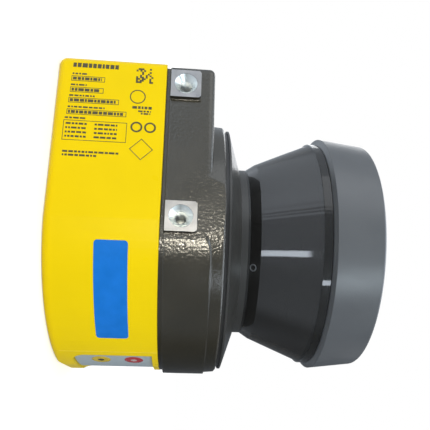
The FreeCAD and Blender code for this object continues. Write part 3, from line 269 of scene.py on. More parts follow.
card = spread(air, ways["Y"], 0, 1, CARD_EDGE, CARD_EDGE + CARD_BORDER)
card = sums(air, "MULTIPLY", card, spread(air, ways["X"], CARD, 0.5, -0.6, 0.6))
strip = add(air, "ShaderNodeMapping")
feed(air, strip.inputs["Vector"], direction)
strip.inputs["Scale"].default_value = STREAK_SHAPE
streaks = add(air, "ShaderNodeTexNoise")
feed(air, streaks.inputs["Vector"], strip.outputs[0])
streaks.inputs["Scale"].default_value = 1.0
torn = spread(air, streaks.outputs["Fac"], STREAK_DEPTH, 0, *STREAK_RANGE)
torn = sums(air, "MULTIPLY", torn, spread(air, ways["Y"], 1, 0, *STREAK_REACH))
card = sums(air, "MULTIPLY", card, sums(air, "SUBTRACT", 1.0, torn))
card = sums(air, "MULTIPLY", card, spread(air, ways["Z"], 1, 0.5, -0.12, -0.04))
room = sums(air, "MAXIMUM", room, card)
for strip_place, strip_half in STRIPS:
    near = 1.0
    for axis, middle, half in zip("XYZ", strip_place, strip_half):
        gap = sums(air, "ABSOLUTE", sums(air, "SUBTRACT", ways[axis], middle), 0.0)
        near = sums(air, "MULTIPLY", near, spread(air, gap, 1, 0, half, half + LAMP_BORDER))
    room = sums(air, "ADD", room, sums(air, "MULTIPLY", near, LAMP))
room = sums(air, "ADD", room, spread(air, ways["Z"], 0, ZENITH, *ZENITH_EDGE))
print("card", CARD, "and", len(STRIPS), "small lamps of", LAMP)

# %% [markdown]
# World by kind of ray
#
# The photograph has a plain white background. One world can look different to each kind of
# ray: camera rays and rays through the cover see white, mirrored rays see the room, cooled a
# little, and all others get an even light. So the colours stay plain.

# %% World by kind of ray
AMBIENT = 0.57
COOL = (0.88, 0.97, 1.08)

path = add(air, "ShaderNodeLightPath").outputs
level = add(air, "ShaderNodeMix")
feed(air, level.inputs[0], path["Is Glossy Ray"])
level.inputs[2].default_value = AMBIENT
feed(air, level.inputs[3], room)
seen = add(air, "ShaderNodeMix")
feed(air, seen.inputs[0], sums(air, "MAXIMUM", path["Is Camera Ray"], path["Is Transmission Ray"]))
feed(air, seen.inputs[2], level.outputs[0])
seen.inputs[3].default_value = 1.0
backdrop = air.nodes["Background"]
feed(air, backdrop.inputs["Color"], tint(air, path["Is Glossy Ray"], (1, 1, 1), COOL))
feed(air, backdrop.inputs["Strength"], seen.outputs[0])
print("even light", AMBIENT)

# %% [markdown]
# Floor
#
# The floor is a plain pale sheet. Some of its white is given to camera rays alone, which keeps
# the object's soft shadow and lets the far floor fade into the background. Mirrored rays don't
# see it, because the painted room has a pale floor of its own.

# %% Floor
FLOOR_HALF = 3.0
FLOOR_GREY = 0.8
FLOOR_WHITE = 0.54

bm = bmesh.new()
bmesh.ops.create_grid(bm, x_segments=1, y_segments=1, size=FLOOR_HALF)
floor_mesh = bpy.data.meshes.new("floor")
bm.to_mesh(floor_mesh)
bm.free()
floor = bpy.data.objects.new("floor", floor_mesh)
bpy.context.scene.collection.objects.link(floor)
floor_paper = finish(
    "floor_paper", (FLOOR_GREY,) * 3, (FLOOR_GREY + 0.02,) * 3, 0.05, (0.8, 0.9), 0.002, 0.00002,
)
tree = floor_paper.node_tree
shader = tree.nodes["Principled BSDF"]
shader.inputs["Specular IOR Level"].default_value = 0.0
shader.inputs["Emission Color"].default_value = (1, 1, 1, 1)
white = sums(tree, "MULTIPLY", add(tree, "ShaderNodeLightPath").outputs["Is Camera Ray"], FLOOR_WHITE)
feed(tree, shader.inputs["Emission Strength"], white)
floor_mesh.materials.append(floor_paper)
floor.visible_glossy = False
print("floor is", 2 * FLOOR_HALF, "m wide")

# %% [markdown]
# Lamps
#
# A large soft key lamp stands beyond the rear, a fill and a rear lamp open the shadows, and a
# small cool lamp gives the cap its sheen. Two flat lamps stand straight before the side: one
# for the base, and an intense one whose light the wrinkled coat breaks into sparkles. A studio
# would shade them with flags. Here light linking does it: the front lamp leaves out the cover
# and the housing, and the sparkle lamp lights the housing alone.


# %% Lamps
def soft_lamp(name, at, aim, wide, high, glow, colour=(1, 1, 1)):
    """A flat lamp whose surface shines with the given brightness."""
    light = bpy.data.lights.new(name, "AREA")
    light.shape = "RECTANGLE"
    light.color = colour
    light.size = wide
    light.size_y = high
    light.energy = glow * math.pi * wide * high
    lamp = bpy.data.objects.new(name, light)
    turn = (Vector(aim) - Vector(at)).to_track_quat("-Z", "Y")
    lamp.matrix_world = Matrix.Translation(at) @ turn.to_matrix().to_4x4()
    bpy.context.scene.collection.objects.link(lamp)
    print(name, "energy", round(light.energy, 2), "W")
    return lamp


AIM = (0, 0, 0.06)
FRONT_PLACE = (-1.5, -0.02, 0.12)
soft_lamp("key_lamp", (-0.95, 1.0, 0.75), AIM, 1.1, 1.1, 0.9)
front_lamp = soft_lamp("front_lamp", FRONT_PLACE, AIM, 0.6, 0.1, 28.0, (1.0, 0.94, 0.80))
soft_lamp("window_lamp", (-0.96, -0.87, 0.81), AIM, 0.42, 0.42, 9.0, (0.8, 0.93, 1.0))
soft_lamp("fill_lamp", (0.9, -0.9, 1.1), AIM, 1.0, 1.0, 0.35)
soft_lamp("rear_lamp", (1.1, 0.9, 0.8), AIM, 1.0, 1.0, 1.6)
sparkle_lamp = soft_lamp("sparkle_lamp", FRONT_PLACE, AIM, 0.62, 0.06, 165.0, (1.0, 0.93, 0.76))
for lamp, names, state in (
    (front_lamp, ("optics_cover", "middle_housing"), "EXCLUDE"),
    (sparkle_lamp, ("middle_housing",), "INCLUDE"),
):
    flags = bpy.data.collections.new(lamp.name + "_flags")
    for number, name in enumerate(names):
        flags.objects.link(nodes[name])
        flags.collection_objects[number].light_linking.link_state = state
    lamp.light_linking.receiver_collection = flags
    print(lamp.name, state, names)

# %% [markdown]
# Yellow paint
#
# The base is a die-cast shell with a smooth semi-gloss coat. Its yellow varies only a little,
# and the coat's slight unevenness shows where a lamp is mirrored in it. Noise in three sizes
# does this: one for the colour, one for the gloss and a fine one for the relief.

# %% Yellow paint
finishes = {}
finishes["yellow_paint"] = finish(
    "yellow_coat", (0.88, 0.645, 0.0), (0.93, 0.685, 0.0), 0.03, (0.27, 0.36), 0.0022, 0.00003,
    edge=0.0004,
)
COAT_SHEEN = 0.12
yellow_shader = finishes["yellow_paint"].node_tree.nodes["Principled BSDF"]
yellow_shader.inputs["Specular IOR Level"].default_value = COAT_SHEEN
print("yellow coat, specular level", COAT_SHEEN)

# %% [markdown]
# Dark wrinkled coat
#
# The cast housing has a dark coat with a leathery relief, like the skin of an orange. Each
# wrinkle catches a lamp at its own angle, which is why the real coat glitters along a band. The
# relief is far finer than a mesh could carry, so it is a bump in the material.

# %% Dark wrinkled coat
cast = finish(
    "dark_wrinkle_coat", (0.015, 0.0135, 0.008), (0.021, 0.0185, 0.0115), 0.02, (0.17, 0.22),
    0.0009, 0.0001, detail=2.0, edge=0.0006,
)
tree = cast.node_tree
paint = tree.nodes["Principled BSDF"]
paint.inputs["Specular IOR Level"].default_value = 0.75
finishes["dark_paint"] = cast
print(cast.name, "has", len(tree.nodes), "nodes")

# %% [markdown]
# Bare pads and holes
#
# The four pads on the sides are milled bare after painting, and so are the cones and threads of
# their holes. The housing is one solid, so its one material carries both: the bare metal is
# wherever the surface lies in the plane of the pads or inside a hole. Inside the holes the metal
# is painted much lighter than on the pad faces, a painted highlight on the cones.

# %% Bare pads and holes
PAD_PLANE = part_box("middle_housing")[1].x
PAD_SKIN = 0.00008
PAD_ROWS = (-0.0049, 0.0446)
PAD_LEVEL = 0.0447
HOLE_ZONE = 0.0043
HOLE_FLOOR = 0.0415
# Lighter metal for the cones and threads of the holes: a painted highlight, the pad faces stay
# darker.
HOLE_PAINTED_HIGHLIGHT = (0.60, 0.63, 0.62)

metal = add(tree, "ShaderNodeBsdfPrincipled")
metal.inputs["Metallic"].default_value = 1.0
blotches = spread(tree, noise(tree, 0.004), 0, 1)
metal_tint = tint(tree, blotches, (0.235, 0.235, 0.24), (0.29, 0.29, 0.30))
feed(tree, metal.inputs["Roughness"], spread(tree, noise(tree, 0.003), 0.27, 0.37))
milling = noise(tree, 0.0006, 2.0, (1, 0.08, 1))
feed(tree, metal.inputs["Normal"], relief(tree, milling, 0.000008))
xyz = parts_of(tree, place(tree))
side = sums(tree, "ABSOLUTE", xyz["X"], 0.0)
bare = sums(tree, "GREATER_THAN", side, PAD_PLANE - PAD_SKIN)
face = bare
for row in PAD_ROWS:
    across = sums(tree, "SUBTRACT", xyz["Y"], row)
    height = sums(tree, "SUBTRACT", xyz["Z"], PAD_LEVEL)
    across = sums(tree, "MULTIPLY", across, across)
    height = sums(tree, "MULTIPLY", height, height)
    hole = sums(tree, "LESS_THAN", sums(tree, "ADD", across, height), HOLE_ZONE * HOLE_ZONE)
    hole = sums(tree, "MULTIPLY", hole, sums(tree, "GREATER_THAN", side, HOLE_FLOOR))
    bare = sums(tree, "MAXIMUM", bare, hole)
# The holes take the lighter metal, a painted highlight; the pad faces take the darker tint.
feed(tree, metal.inputs["Base Color"], tint(tree, face, HOLE_PAINTED_HIGHLIGHT, metal_tint))
both = add(tree, "ShaderNodeMixShader")
feed(tree, both.inputs[0], bare)
feed(tree, both.inputs[1], paint.outputs[0])
feed(tree, both.inputs[2], metal.outputs[0])
feed(tree, tree.nodes["Material Output"].inputs["Surface"], both.outputs[0])
print("pads are bare beyond x =", round((PAD_PLANE - PAD_SKIN) / MM, 2), "mm")

# %% [markdown]
# Cover that lets infrared through
#
# The cover is moulded from a plastic that looks black, but its thin edge lets brown light
# through. A fully transmitting shader with a brown tint does the same: the light that crosses
# the wall once is brown, and what lies inside is dark, because its light crosses it twice. The
# flange and the neck are satin, and a thin veil of the same satin lies over the window.

# %% Infrared cover
cover = finish(
    "infrared_plastic", (0.034, 0.026, 0.018), (0.042, 0.032, 0.022), 0.02, (0.02, 0.05),
    0.012, 0.00001,
)
glass = cover.node_tree.nodes["Principled BSDF"]
glass.inputs["Transmission Weight"].default_value = 1.0
glass.inputs["IOR"].default_value = 1.5
NECK_TOP = 0.069
VEIL = 0.3
tree = cover.node_tree
satin = add(tree, "ShaderNodeBsdfPrincipled")
satin_tint = tint(tree, noise(tree, 0.008), (0.046, 0.045, 0.042), (0.058, 0.057, 0.054))
feed(tree, satin.inputs["Base Color"], satin_tint)
feed(tree, satin.inputs["Roughness"], spread(tree, noise(tree, 0.005), 0.28, 0.36))
neck = sums(tree, "LESS_THAN", parts_of(tree, place(tree))["Z"], NECK_TOP)
dull = add(tree, "ShaderNodeMixShader")
feed(tree, dull.inputs[0], sums(tree, "MAXIMUM", neck, VEIL))
feed(tree, dull.inputs[1], glass.outputs[0])
feed(tree, dull.inputs[2], satin.outputs[0])
feed(tree, tree.nodes["Material Output"].inputs["Surface"], dull.outputs[0])
finishes["window_black"] = cover
print("cover is satin below level", round(NECK_TOP / MM, 1), "mm, veil", VEIL)

# %% [markdown]
# Plastics, rubber and boards
#
# The cap is grey with a soft sheen and a fine moulded grain. The other plastics and rubbers
# differ in colour, gloss and the size of their grain, and circuit boards are green lacquer over
# copper. One helper makes them all, because only its numbers differ.

# %% Plastics, rubber and boards
finishes["cap_grey"] = finish(
    "cap_grain", (0.090, 0.099, 0.112), (0.103, 0.113, 0.126), 0.02, (0.3, 0.38), 0.0005, 0.00003,
    edge=0.0003,
)
finishes["panel_print"] = finish(
    "panel_film", (0.40, 0.47, 0.52), (0.43, 0.50, 0.55), 0.008, (0.3, 0.4), 0.0008, 0.00001,
)
finishes["connector_insert"] = finish(
    "insert_plastic", (0.02, 0.02, 0.022), (0.035, 0.035, 0.036), 0.003, (0.4, 0.55), 0.0004, 0.00001,
)
finishes["seal_rubber"] = finish(
    "seal_rubber", (0.018, 0.018, 0.018), (0.032, 0.031, 0.03), 0.004, (0.6, 0.75), 0.0005, 0.00002,
)
finishes["black_plastic"] = finish(
    "black_plastic", (0.02, 0.02, 0.02), (0.034, 0.034, 0.035), 0.006, (0.45, 0.6), 0.0006, 0.00002,
)
finishes["circuit_board"] = finish(
    "board_lacquer", (0.012, 0.12, 0.035), (0.02, 0.17, 0.055), 0.003, (0.28, 0.42), 0.0006, 0.00002,
)
finishes["target_white"] = finish(
    "target_white", (0.66, 0.66, 0.64), (0.72, 0.72, 0.7), 0.004, (0.6, 0.75), 0.0005, 0.00001,
)
clear = finish(
    "clear_guide", (0.78, 0.80, 0.80), (0.84, 0.86, 0.86), 0.01, (0.05, 0.12), 0.004, 0.00001,
)
clear.node_tree.nodes["Principled BSDF"].inputs["Transmission Weight"].default_value = 0.9
finishes["clear_plastic"] = clear
lens_glass = finish(
    "lens_glass", (0.84, 0.9, 0.9), (0.88, 0.93, 0.93), 0.02, (0.01, 0.03), 0.01, 0.000002,
)
lens_glass.node_tree.nodes["Principled BSDF"].inputs["Transmission Weight"].default_value = 1.0
finishes["lens_glass"] = lens_glass
print(len(finishes), "finishes so far")

# %% [markdown]
# Metals
#
# Screws, connectors, brass spacers, castings, laminations and the mirror are metals that differ
# in colour, gloss and grain. Turning and milling leave marks too fine to show from here, so an
# even grain stands for them. The casting inside is blackened to keep stray light down.

# %% Metals
METALS = {
    "spacer_brass": ((0.62, 0.46, 0.19), (0.74, 0.56, 0.25), 0.003, (0.25, 0.38), 0.0004, 0.00001),
    "screw_steel": ((0.42, 0.42, 0.43), (0.56, 0.56, 0.57), 0.002, (0.25, 0.4), 0.0003, 0.00001),
    "connector_metal": ((0.56, 0.55, 0.52), (0.68, 0.67, 0.64), 0.003, (0.2, 0.34), 0.0005, 0.00001),
    "laser_brass": ((0.6, 0.45, 0.18), (0.72, 0.55, 0.24), 0.004, (0.2, 0.3), 0.0004, 0.00001),
    "bearing_steel": ((0.6, 0.6, 0.61), (0.7, 0.7, 0.71), 0.003, (0.12, 0.2), 0.0004, 0.000005),
    "stator_iron": ((0.2, 0.2, 0.21), (0.3, 0.3, 0.31), 0.002, (0.35, 0.5), 0.0003, 0.00002),
    "rotor_steel": ((0.4, 0.4, 0.42), (0.52, 0.52, 0.54), 0.004, (0.22, 0.34), 0.0004, 0.00001),
    "mirror_coating": ((0.86, 0.86, 0.86), (0.92, 0.92, 0.92), 0.02, (0.01, 0.03), 0.01, 0.000001),
    "cast_aluminium": ((0.05, 0.05, 0.052), (0.07, 0.07, 0.072), 0.004, (0.5, 0.65), 0.0006, 0.00004),
}
for slot, (dark, light, mottle, gloss, grain, depth) in METALS.items():
    finishes[slot] = finish(slot, dark, light, mottle, gloss, grain, depth, metallic=1.0)
print(len(finishes), "finishes made")

# %% [markdown]
# Dressing the solids
#
# The record says which finish each solid takes. Only the material changes: the solids
# themselves stay exactly as they were packed.

# %% Dress the solids
for row in frame["record"]["subparts"]:
    node = nodes[row["node"]]
    if not node.material_slots:
        node.data.materials.append(None)
    node.material_slots[0].material = finishes[row["material_slot"]]
    for face in node.data.polygons:
        face.material_index = 0

# %% [markdown]
# Making a piece
#
# The small things that the camera sees on the solids are new pieces. Each is a mesh made with
# bmesh operators. It rides on the body that carries it and is finished like the rest.


# %% Make a piece
def piece(name, bm, material, body="housing", smooth=False):
    """Turns a bmesh into a finished piece that rides on a body."""
    mesh = bpy.data.meshes.new(name)
    bm.to_mesh(mesh)
    bm.free()
    mesh.materials.append(material)
    for face in mesh.polygons:
        face.use_smooth = smooth
    made = bpy.data.objects.new(name, mesh)
    bpy.context.scene.collection.objects.link(made)
    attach(made, body)
    print(name, len(mesh.polygons), "faces")
    return made


print("a piece is a mesh with a finish, a body and a slot")

# %% [markdown]
# Flat marks
#
# Printed marks are drawn flat first, with one axis towards the front of the scanner and the
# other upwards. Three shapes are enough: a bar, a thin frame, which is an inset bar without its
# middle, and a ring, which is a bridge between two circles.


# %% Flat marks
def bar(bm, front, low, length, height):
    """A flat rectangle: its distance to the front, its level, its length and height in mm."""
    spot = Matrix.Translation(((front + length / 2) * MM, (low + height / 2) * MM, 0))
    size = Matrix.Diagonal((length * MM, height * MM, 1, 1))
    made = bmesh.ops.create_grid(bm, x_segments=1, y_segments=1, size=0.5, matrix=spot @ size)
    return made["verts"]


def outline_box(bm, front, low, length, height, line):
    """A thin frame: a rectangle, inset, without its middle."""
    verts = bar(bm, front, low, length, height)
    face = verts[0].link_faces[0]
    bmesh.ops.inset_region(
        bm, faces=[face], thickness=line * MM, use_boundary=True, use_even_offset=True,
    )
    bmesh.ops.delete(bm, geom=[face], context="FACES")


def ring(bm, front, low, outer, inner, count=48):
    """A flat ring about a centre, in mm."""
    spot = Matrix.Translation((front * MM, low * MM, 0))
    edge = bmesh.ops.create_circle(bm, segments=count, radius=outer * MM, matrix=spot)["verts"]
    hole = bmesh.ops.create_circle(bm, segments=count, radius=inner * MM, matrix=spot)["verts"]
    edges = list(dict.fromkeys(link for vert in edge + hole for link in vert.link_edges))
    bmesh.ops.bridge_loops(bm, edges=edges)


print("flat marks: bar, thin frame and ring")

# %% [markdown]
# Marks that follow the side
#
# The side of the base is flat at the rear and turns into a round front. Flat marks get a thin
# body, and each point is then laid on the side: where it lies beyond the shoulder, its distance
# is wrapped round the front as an arc. Real foil and ink follow the surface in the same way.

# %% Lay marks on the side
SIDE_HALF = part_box("base_housing")[1].x
FRONT_ROUND = 0.0506
SHOULDER = math.sqrt(FRONT_ROUND**2 - SIDE_HALF**2)
PRINT_THICK = 0.00005


def lay_on_side(bm, left=True, thick=PRINT_THICK):
    """Gives flat marks a body and moves them onto the side of the base."""
    faces = list(bm.faces)
    bmesh.ops.recalc_face_normals(bm, faces=faces)
    for face in faces:
        if face.normal.z < 0:
            face.normal_flip()
    raised = bmesh.ops.extrude_face_region(bm, geom=list(bm.faces))
    top = [item for item in raised["geom"] if isinstance(item, bmesh.types.BMVert)]
    bmesh.ops.translate(bm, verts=top, vec=(0, 0, thick))
    sign = -1 if left else 1
    for vert in bm.verts:
        along, level, lift = vert.co
        beyond = along - SHOULDER
        if beyond <= 0:
            vert.co = (sign * (SIDE_HALF + lift), -along, level)
        else:
            angle = math.asin(SHOULDER / FRONT_ROUND) + beyond / FRONT_ROUND
            reach = FRONT_ROUND + lift
            vert.co = (sign * reach * math.cos(angle), -reach * math.sin(angle), level)
    bmesh.ops.recalc_face_normals(bm, faces=bm.faces)


print("side is flat to", round(SHOULDER / MM, 1), "mm before the middle")

# %% [markdown]
# Print on the side
#
# The left side carries print near its rear: rows of short lines, thin frames, a small checked
# square and a few plain shapes. Only generic shapes stand here, so nothing can be read. The
# ink is a dark brown film. A seeded draw sets the dashes, so each run gives the same print.

# %% Print on the left side
ink = finish(
    "dark_ink", (0.045, 0.036, 0.004), (0.065, 0.052, 0.006), 0.002, (0.4, 0.5), 0.0006, 0.000005,
)
DASH = (0.5, 1.9)
SHORTEST_DASH = 0.25
FRAME_LINE = 0.18
draw = random.Random(11)
bm = bmesh.new()


def dashes(bm, top, low, length, height, gap=0.35):
    """A row of short dashes of uneven length, read from its upper edge."""
    spent = 0.0
    while spent < length:
        part = min(draw.uniform(*DASH), length - spent)
        if part > SHORTEST_DASH:
            bar(bm, -top, low + spent, height, part)
        spent += part + gap


ROWS = (
    (50.6, 5.4, 15.6, 1.7), (46.6, 5.4, 5.2, 0.6), (42.2, 5.2, 5.4, 0.6), (38.0, 5.0, 8.6, 0.6),
    (33.6, 4.9, 12.4, 0.6), (29.4, 4.3, 6.8, 0.6), (16.9, 4.6, 18.4, 0.7), (15.6, 4.6, 11.2, 0.7),
    (34.9, 26.6, 6.6, 1.0), (33.3, 28.6, 4.4, 0.6), (32.4, 29.6, 3.2, 0.6),
)
for top, low, length, height in ROWS:
    dashes(bm, top, low, length, height)
FRAMES = ((45.4, 5.2, 11.4), (41.0, 5.1, 11.3), (36.9, 4.9, 17.0), (32.4, 4.7, 20.0))
for top, low, length in FRAMES:
    outline_box(bm, -top, low, 2.0, length, FRAME_LINE)
    dashes(bm, top - 0.45, low + 0.5, length - 1.6, 1.1, 0.3)
TABLE_TOP = 27.3
TABLE_STEP = 1.6
outline_box(bm, -28.2, 4.0, 7.5, 21.2, FRAME_LINE)
for number in range(4):
    dashes(bm, TABLE_TOP - TABLE_STEP * number, 4.8, 7.0, 0.7)
    dashes(bm, TABLE_TOP - TABLE_STEP * number, 14.4, 7.6, 0.7)
print("rows and frames:", len(bm.faces), "faces")

# %% [markdown]
# Plain shapes in the print
#
# Beside the rows stand a checked square, three rings and a diamond. The square is a board of
# small cells of which a seeded draw fills about half, so it says nothing to a reader. The
# finished print is laid on the side as one piece, because it is one pass of ink.

# %% Plain shapes in the print
CELLS = 9
CELL = 0.66
SQUARE_CORNER = (-50.0, 27.2)
RINGS = ((-38.6, 28.2, 2.7, 2.35), (-26.9, 28.4, 2.0, 1.4), (-26.9, 33.0, 2.0, 1.4))
DIAMOND = (-18.6, 30.4)
for line in range(CELLS):
    for column in range(CELLS):
        if draw.random() < 0.5:
            bar(bm, SQUARE_CORNER[0] + line * CELL, SQUARE_CORNER[1] + column * CELL, CELL, CELL)
for front, low, outer, inner in RINGS:
    ring(bm, front, low, outer, inner)
diamond_rim = bmesh.ops.create_circle(
    bm, segments=4, radius=4.0 * MM, cap_ends=True,
    matrix=Matrix.Translation((DIAMOND[0] * MM, DIAMOND[1] * MM, 0)),
)
rim_face = diamond_rim["verts"][0].link_faces[0]
bmesh.ops.inset_region(
    bm, faces=[rim_face], thickness=0.24 * MM, use_boundary=True, use_even_offset=True,
)
bmesh.ops.delete(bm, geom=[rim_face], context="FACES")
lay_on_side(bm)
piece("side_print", bm, ink)

# %% [markdown]
# Blue bar
#
# Towards the front the side carries a large blue mark. Here it is a plain bar with rounded
# corners. It starts as one rectangle whose corners are bevelled, and it is cut into strips, so
# that it can follow the round front.

# %% Blue bar on both sides
BAR_START = SHOULDER / MM + 7.2
BAR_LENGTH = 36.2
BAR_LOW = 17.0
BAR_HEIGHT = 11.0
BAR_STRIPS = 36


def slice_up(bm, point, across, **drop):
    """Cuts everything in a bmesh along a plane."""
    everything = bm.verts[:] + bm.edges[:] + bm.faces[:]
    bmesh.ops.bisect_plane(bm, geom=everything, plane_co=point, plane_no=across, **drop)


blue = finish(
    "blue_ink", (0.006, 0.17, 0.64), (0.010, 0.195, 0.72), 0.004, (0.3, 0.38), 0.001, 0.000006,
)
blue.node_tree.nodes["Principled BSDF"].inputs["Specular IOR Level"].default_value = COAT_SHEEN
for name, left in (("blue_bar_left", True), ("blue_bar_right", False)):
    bm = bmesh.new()
    corners = bar(bm, BAR_START, BAR_LOW, BAR_LENGTH, BAR_HEIGHT)
    bmesh.ops.bevel(
        bm, geom=corners, offset=1.2 * MM, offset_type="OFFSET", segments=5, profile=0.5,
        affect="VERTICES", material=-1,
    )
    for number in range(1, BAR_STRIPS):
        slice_up(bm, ((BAR_START + BAR_LENGTH * number / BAR_STRIPS) * MM, 0, 0), (1, 0, 0))
    lay_on_side(bm, left)
    piece(name, bm, blue)

# %% [markdown]
# Bowed plates
#
# On the real base the front bows outwards between two upright creases, flatter than the round
# beside it, and a wide recess holds the display panel. Recess and panel are the same bowed
# plate in two sizes: a flat one gets two rounded corners and a thickness, is cut into upright
# strips, and its points are then pushed back along the bow.

# %% Bowed plates
BOW_RADIUS = 60.5
BOW_CENTRE = 10.7
BOW_START = -45.9
CROWN = BOW_RADIUS - BOW_CENTRE
RECESS_HALF = 18.2
RECESS_LOW = 7.0
RECESS_HIGH = 35.6
RECESS_FLOOR = CROWN - 2.2
RECESS_CORNER = 4.6
LEVEL_HIGH = 60.0
BOW_STRIPS = 24
UPRIGHT = Matrix.Rotation(math.radians(90), 4, "X")


def solid_of(name, bm):
    """An object that only serves while shapes are cut."""
    mesh = bpy.data.meshes.new(name)
    bm.to_mesh(mesh)
    bm.free()
    made = bpy.data.objects.new(name, mesh)
    bpy.context.scene.collection.objects.link(made)
    return made


def front_plate(half, low, high, rear, front, corner):
    """A plate bowed like the front, with its two low corners rounded. Sizes in mm."""
    bm = bmesh.new()
    stand = Matrix.Translation((0, -rear * MM, (low + high) / 2 * MM)) @ UPRIGHT
    size = Matrix.Diagonal((2 * half * MM, (high - low) * MM, 1, 1))
    bmesh.ops.create_grid(bm, x_segments=1, y_segments=1, size=0.5, matrix=stand @ size)
    feet = [vert for vert in bm.verts if vert.co.z < (low + 1) * MM]
    bmesh.ops.bevel(
        bm, geom=feet, offset=corner * MM, offset_type="OFFSET", segments=8, profile=0.5,
        affect="VERTICES", material=-1,
    )
    grown = bmesh.ops.extrude_face_region(bm, geom=bm.faces[:])
    moved = [item for item in grown["geom"] if isinstance(item, bmesh.types.BMVert)]
    bmesh.ops.translate(bm, verts=moved, vec=(0, -(front - rear) * MM, 0))
    for number in range(1, BOW_STRIPS):
        slice_up(bm, ((2 * number / BOW_STRIPS - 1) * half * MM, 0, 0), (1, 0, 0))
    for vert in bm.verts:
        vert.co.y += BOW_RADIUS * MM - math.sqrt((BOW_RADIUS * MM) ** 2 - vert.co.x**2)
    bmesh.ops.recalc_face_normals(bm, faces=bm.faces)
    return bm


print("front: crown at", round(-CROWN, 1), "mm, recess floor at", round(-RECESS_FLOOR, 1), "mm")

# %% [markdown]
# Shapes that fill and cut
#
# The solid keeps a narrow facet with a narrow recess, so a block fills that recess first. A
# ring whose inner wall is the bow then takes off what stands before it: two circles are bridged
# and extruded, and the half behind is cut away. The bowed plate makes the new recess.

# %% Shapes that fill and cut
FILLER_MIDDLE = (0, -48.2, 19.7)
FILLER_SIZE = (19.0, 2.3, 29.6)
bm = bmesh.new()
spot = Matrix.Translation((0, BOW_CENTRE * MM, -MM))
for radius in (BOW_RADIUS, BOW_RADIUS + 6):
    bmesh.ops.create_circle(bm, segments=288, radius=radius * MM, matrix=spot)
bmesh.ops.bridge_loops(bm, edges=bm.edges[:])
grown = bmesh.ops.extrude_face_region(bm, geom=bm.faces[:])
moved = [item for item in grown["geom"] if isinstance(item, bmesh.types.BMVert)]
bmesh.ops.translate(bm, verts=moved, vec=(0, 0, LEVEL_HIGH * MM))
slice_up(bm, (0, BOW_START * MM, 0), (0, 1, 0), clear_outer=True)
bmesh.ops.holes_fill(bm, edges=[edge for edge in bm.edges if edge.is_boundary])
bmesh.ops.recalc_face_normals(bm, faces=bm.faces)
bow_cutter = solid_of("bow_cutter", bm)
bm = front_plate(RECESS_HALF, RECESS_LOW, RECESS_HIGH, RECESS_FLOOR, LEVEL_HIGH, RECESS_CORNER)
recess_cutter = solid_of("recess_cutter", bm)
bm = bmesh.new()
filler_place = Matrix.Translation(Vector(FILLER_MIDDLE) * MM)
filler_size = Matrix.Diagonal((*(Vector(FILLER_SIZE) * MM), 1))
bmesh.ops.create_cube(bm, size=1, matrix=filler_place @ filler_size)
filler = solid_of("filler", bm)
print("three shapes stand ready")

# %% [markdown]
# Cutting the front
#
# A solid's mesh is loose triangles and may not be changed, so a copy of it is merged. Boolean
# modifiers join and cut it, flat faces are made whole again, and the copy takes the solid's
# place. No edge may stay open, so the open ones are counted.

# %% Cut the front
MERGE_WITHIN = 0.000001
FLAT_WITHIN = 0.002


def cut_copy(name, source, steps, slot):
    """A merged copy of a solid with other shapes joined to it or cut from it."""
    bm = bmesh.new()
    bm.from_mesh(nodes[source].data)
    bmesh.ops.remove_doubles(bm, verts=bm.verts, dist=MERGE_WITHIN)
    rough = solid_of(name + "_rough", bm)
    for operation, shape in steps:
        cut = rough.modifiers.new("cut", "BOOLEAN")
        cut.operation = operation
        cut.solver = "EXACT"
        cut.object = shape
    seen = rough.evaluated_get(bpy.context.evaluated_depsgraph_get())
    bm = bmesh.new()
    bm.from_mesh(bpy.data.meshes.new_from_object(seen))
    bmesh.ops.dissolve_limit(bm, angle_limit=FLAT_WITHIN, verts=bm.verts, edges=bm.edges)
    open_edges = sum(1 for edge in bm.edges if not edge.is_manifold)
    bpy.data.objects.remove(rough)
    made = piece(name, bm, finishes[slot])
    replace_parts(made, source)
    print(name, "open edges", open_edges)
    return made


STEPS = (("UNION", filler), ("DIFFERENCE", bow_cutter), ("DIFFERENCE", recess_cutter))
cut_copy("base_shell", "base_housing", STEPS, "yellow_paint")
for shape in (filler, bow_cutter, recess_cutter):
    bpy.data.objects.remove(shape)

# %% [markdown]
# Creases beside the front
#
# A fine raised line runs up each crease where the mould halves met. It is a narrow bar laid on
# the side like the print, only thicker, and its yellow is lighter than the coat: a painted
# highlight for the light that the raised line catches.

# %% Crease lines
CREASE_SIDE = 21.1
CREASE_WIDTH = 0.35
CREASE_LOW = 3.2
CREASE_HEIGHT = 34.4
CREASE_RISE = 0.08
crease_turn = math.acos(CREASE_SIDE * MM / FRONT_ROUND) - math.asin(SHOULDER / FRONT_ROUND)
crease_front = (SHOULDER + crease_turn * FRONT_ROUND) / MM
# Lighter than the yellow coat: a painted highlight along each crease, on a real raised bead.
crease_painted_highlight = finish(
    "crease_painted_highlight", (0.93, 0.73, 0.03), (0.97, 0.77, 0.05), 0.01, (0.3, 0.4), 0.002, 0.00001,
)
for name, left in (("crease_left", True), ("crease_right", False)):
    bm = bmesh.new()
    bar(bm, crease_front - CREASE_WIDTH / 2, CREASE_LOW, CREASE_WIDTH, CREASE_HEIGHT)
    lay_on_side(bm, left, thick=CREASE_RISE * MM)
    piece(name, bm, crease_painted_highlight)

# %% [markdown]
# Display panel and its symbols
#
# The panel is a plate with a printed film, sunk in the recess. It bows like the front, so it is
# the recess's own shape, smaller by a narrow gap all round.

# %% Display panel
PANEL_GAP = 0.25
PANEL_FACE = CROWN - 1.1
bm = front_plate(
    RECESS_HALF - PANEL_GAP, RECESS_LOW + PANEL_GAP, RECESS_HIGH - PANEL_GAP,
    RECESS_FLOOR, PANEL_FACE, RECESS_CORNER - PANEL_GAP,
)
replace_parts(piece("panel_plate", bm, finishes["panel_print"]), "display_panel")

# %% [markdown]
# Symbols on the panel
#
# Two round symbols show on the panel, an amber one with a dark middle and a red one with a pale
# middle. Each is a low disc: a circle whose rings are inset and rise a little, and whose rim
# gets a short skirt that sinks in the panel. It leans with the bow where it stands.

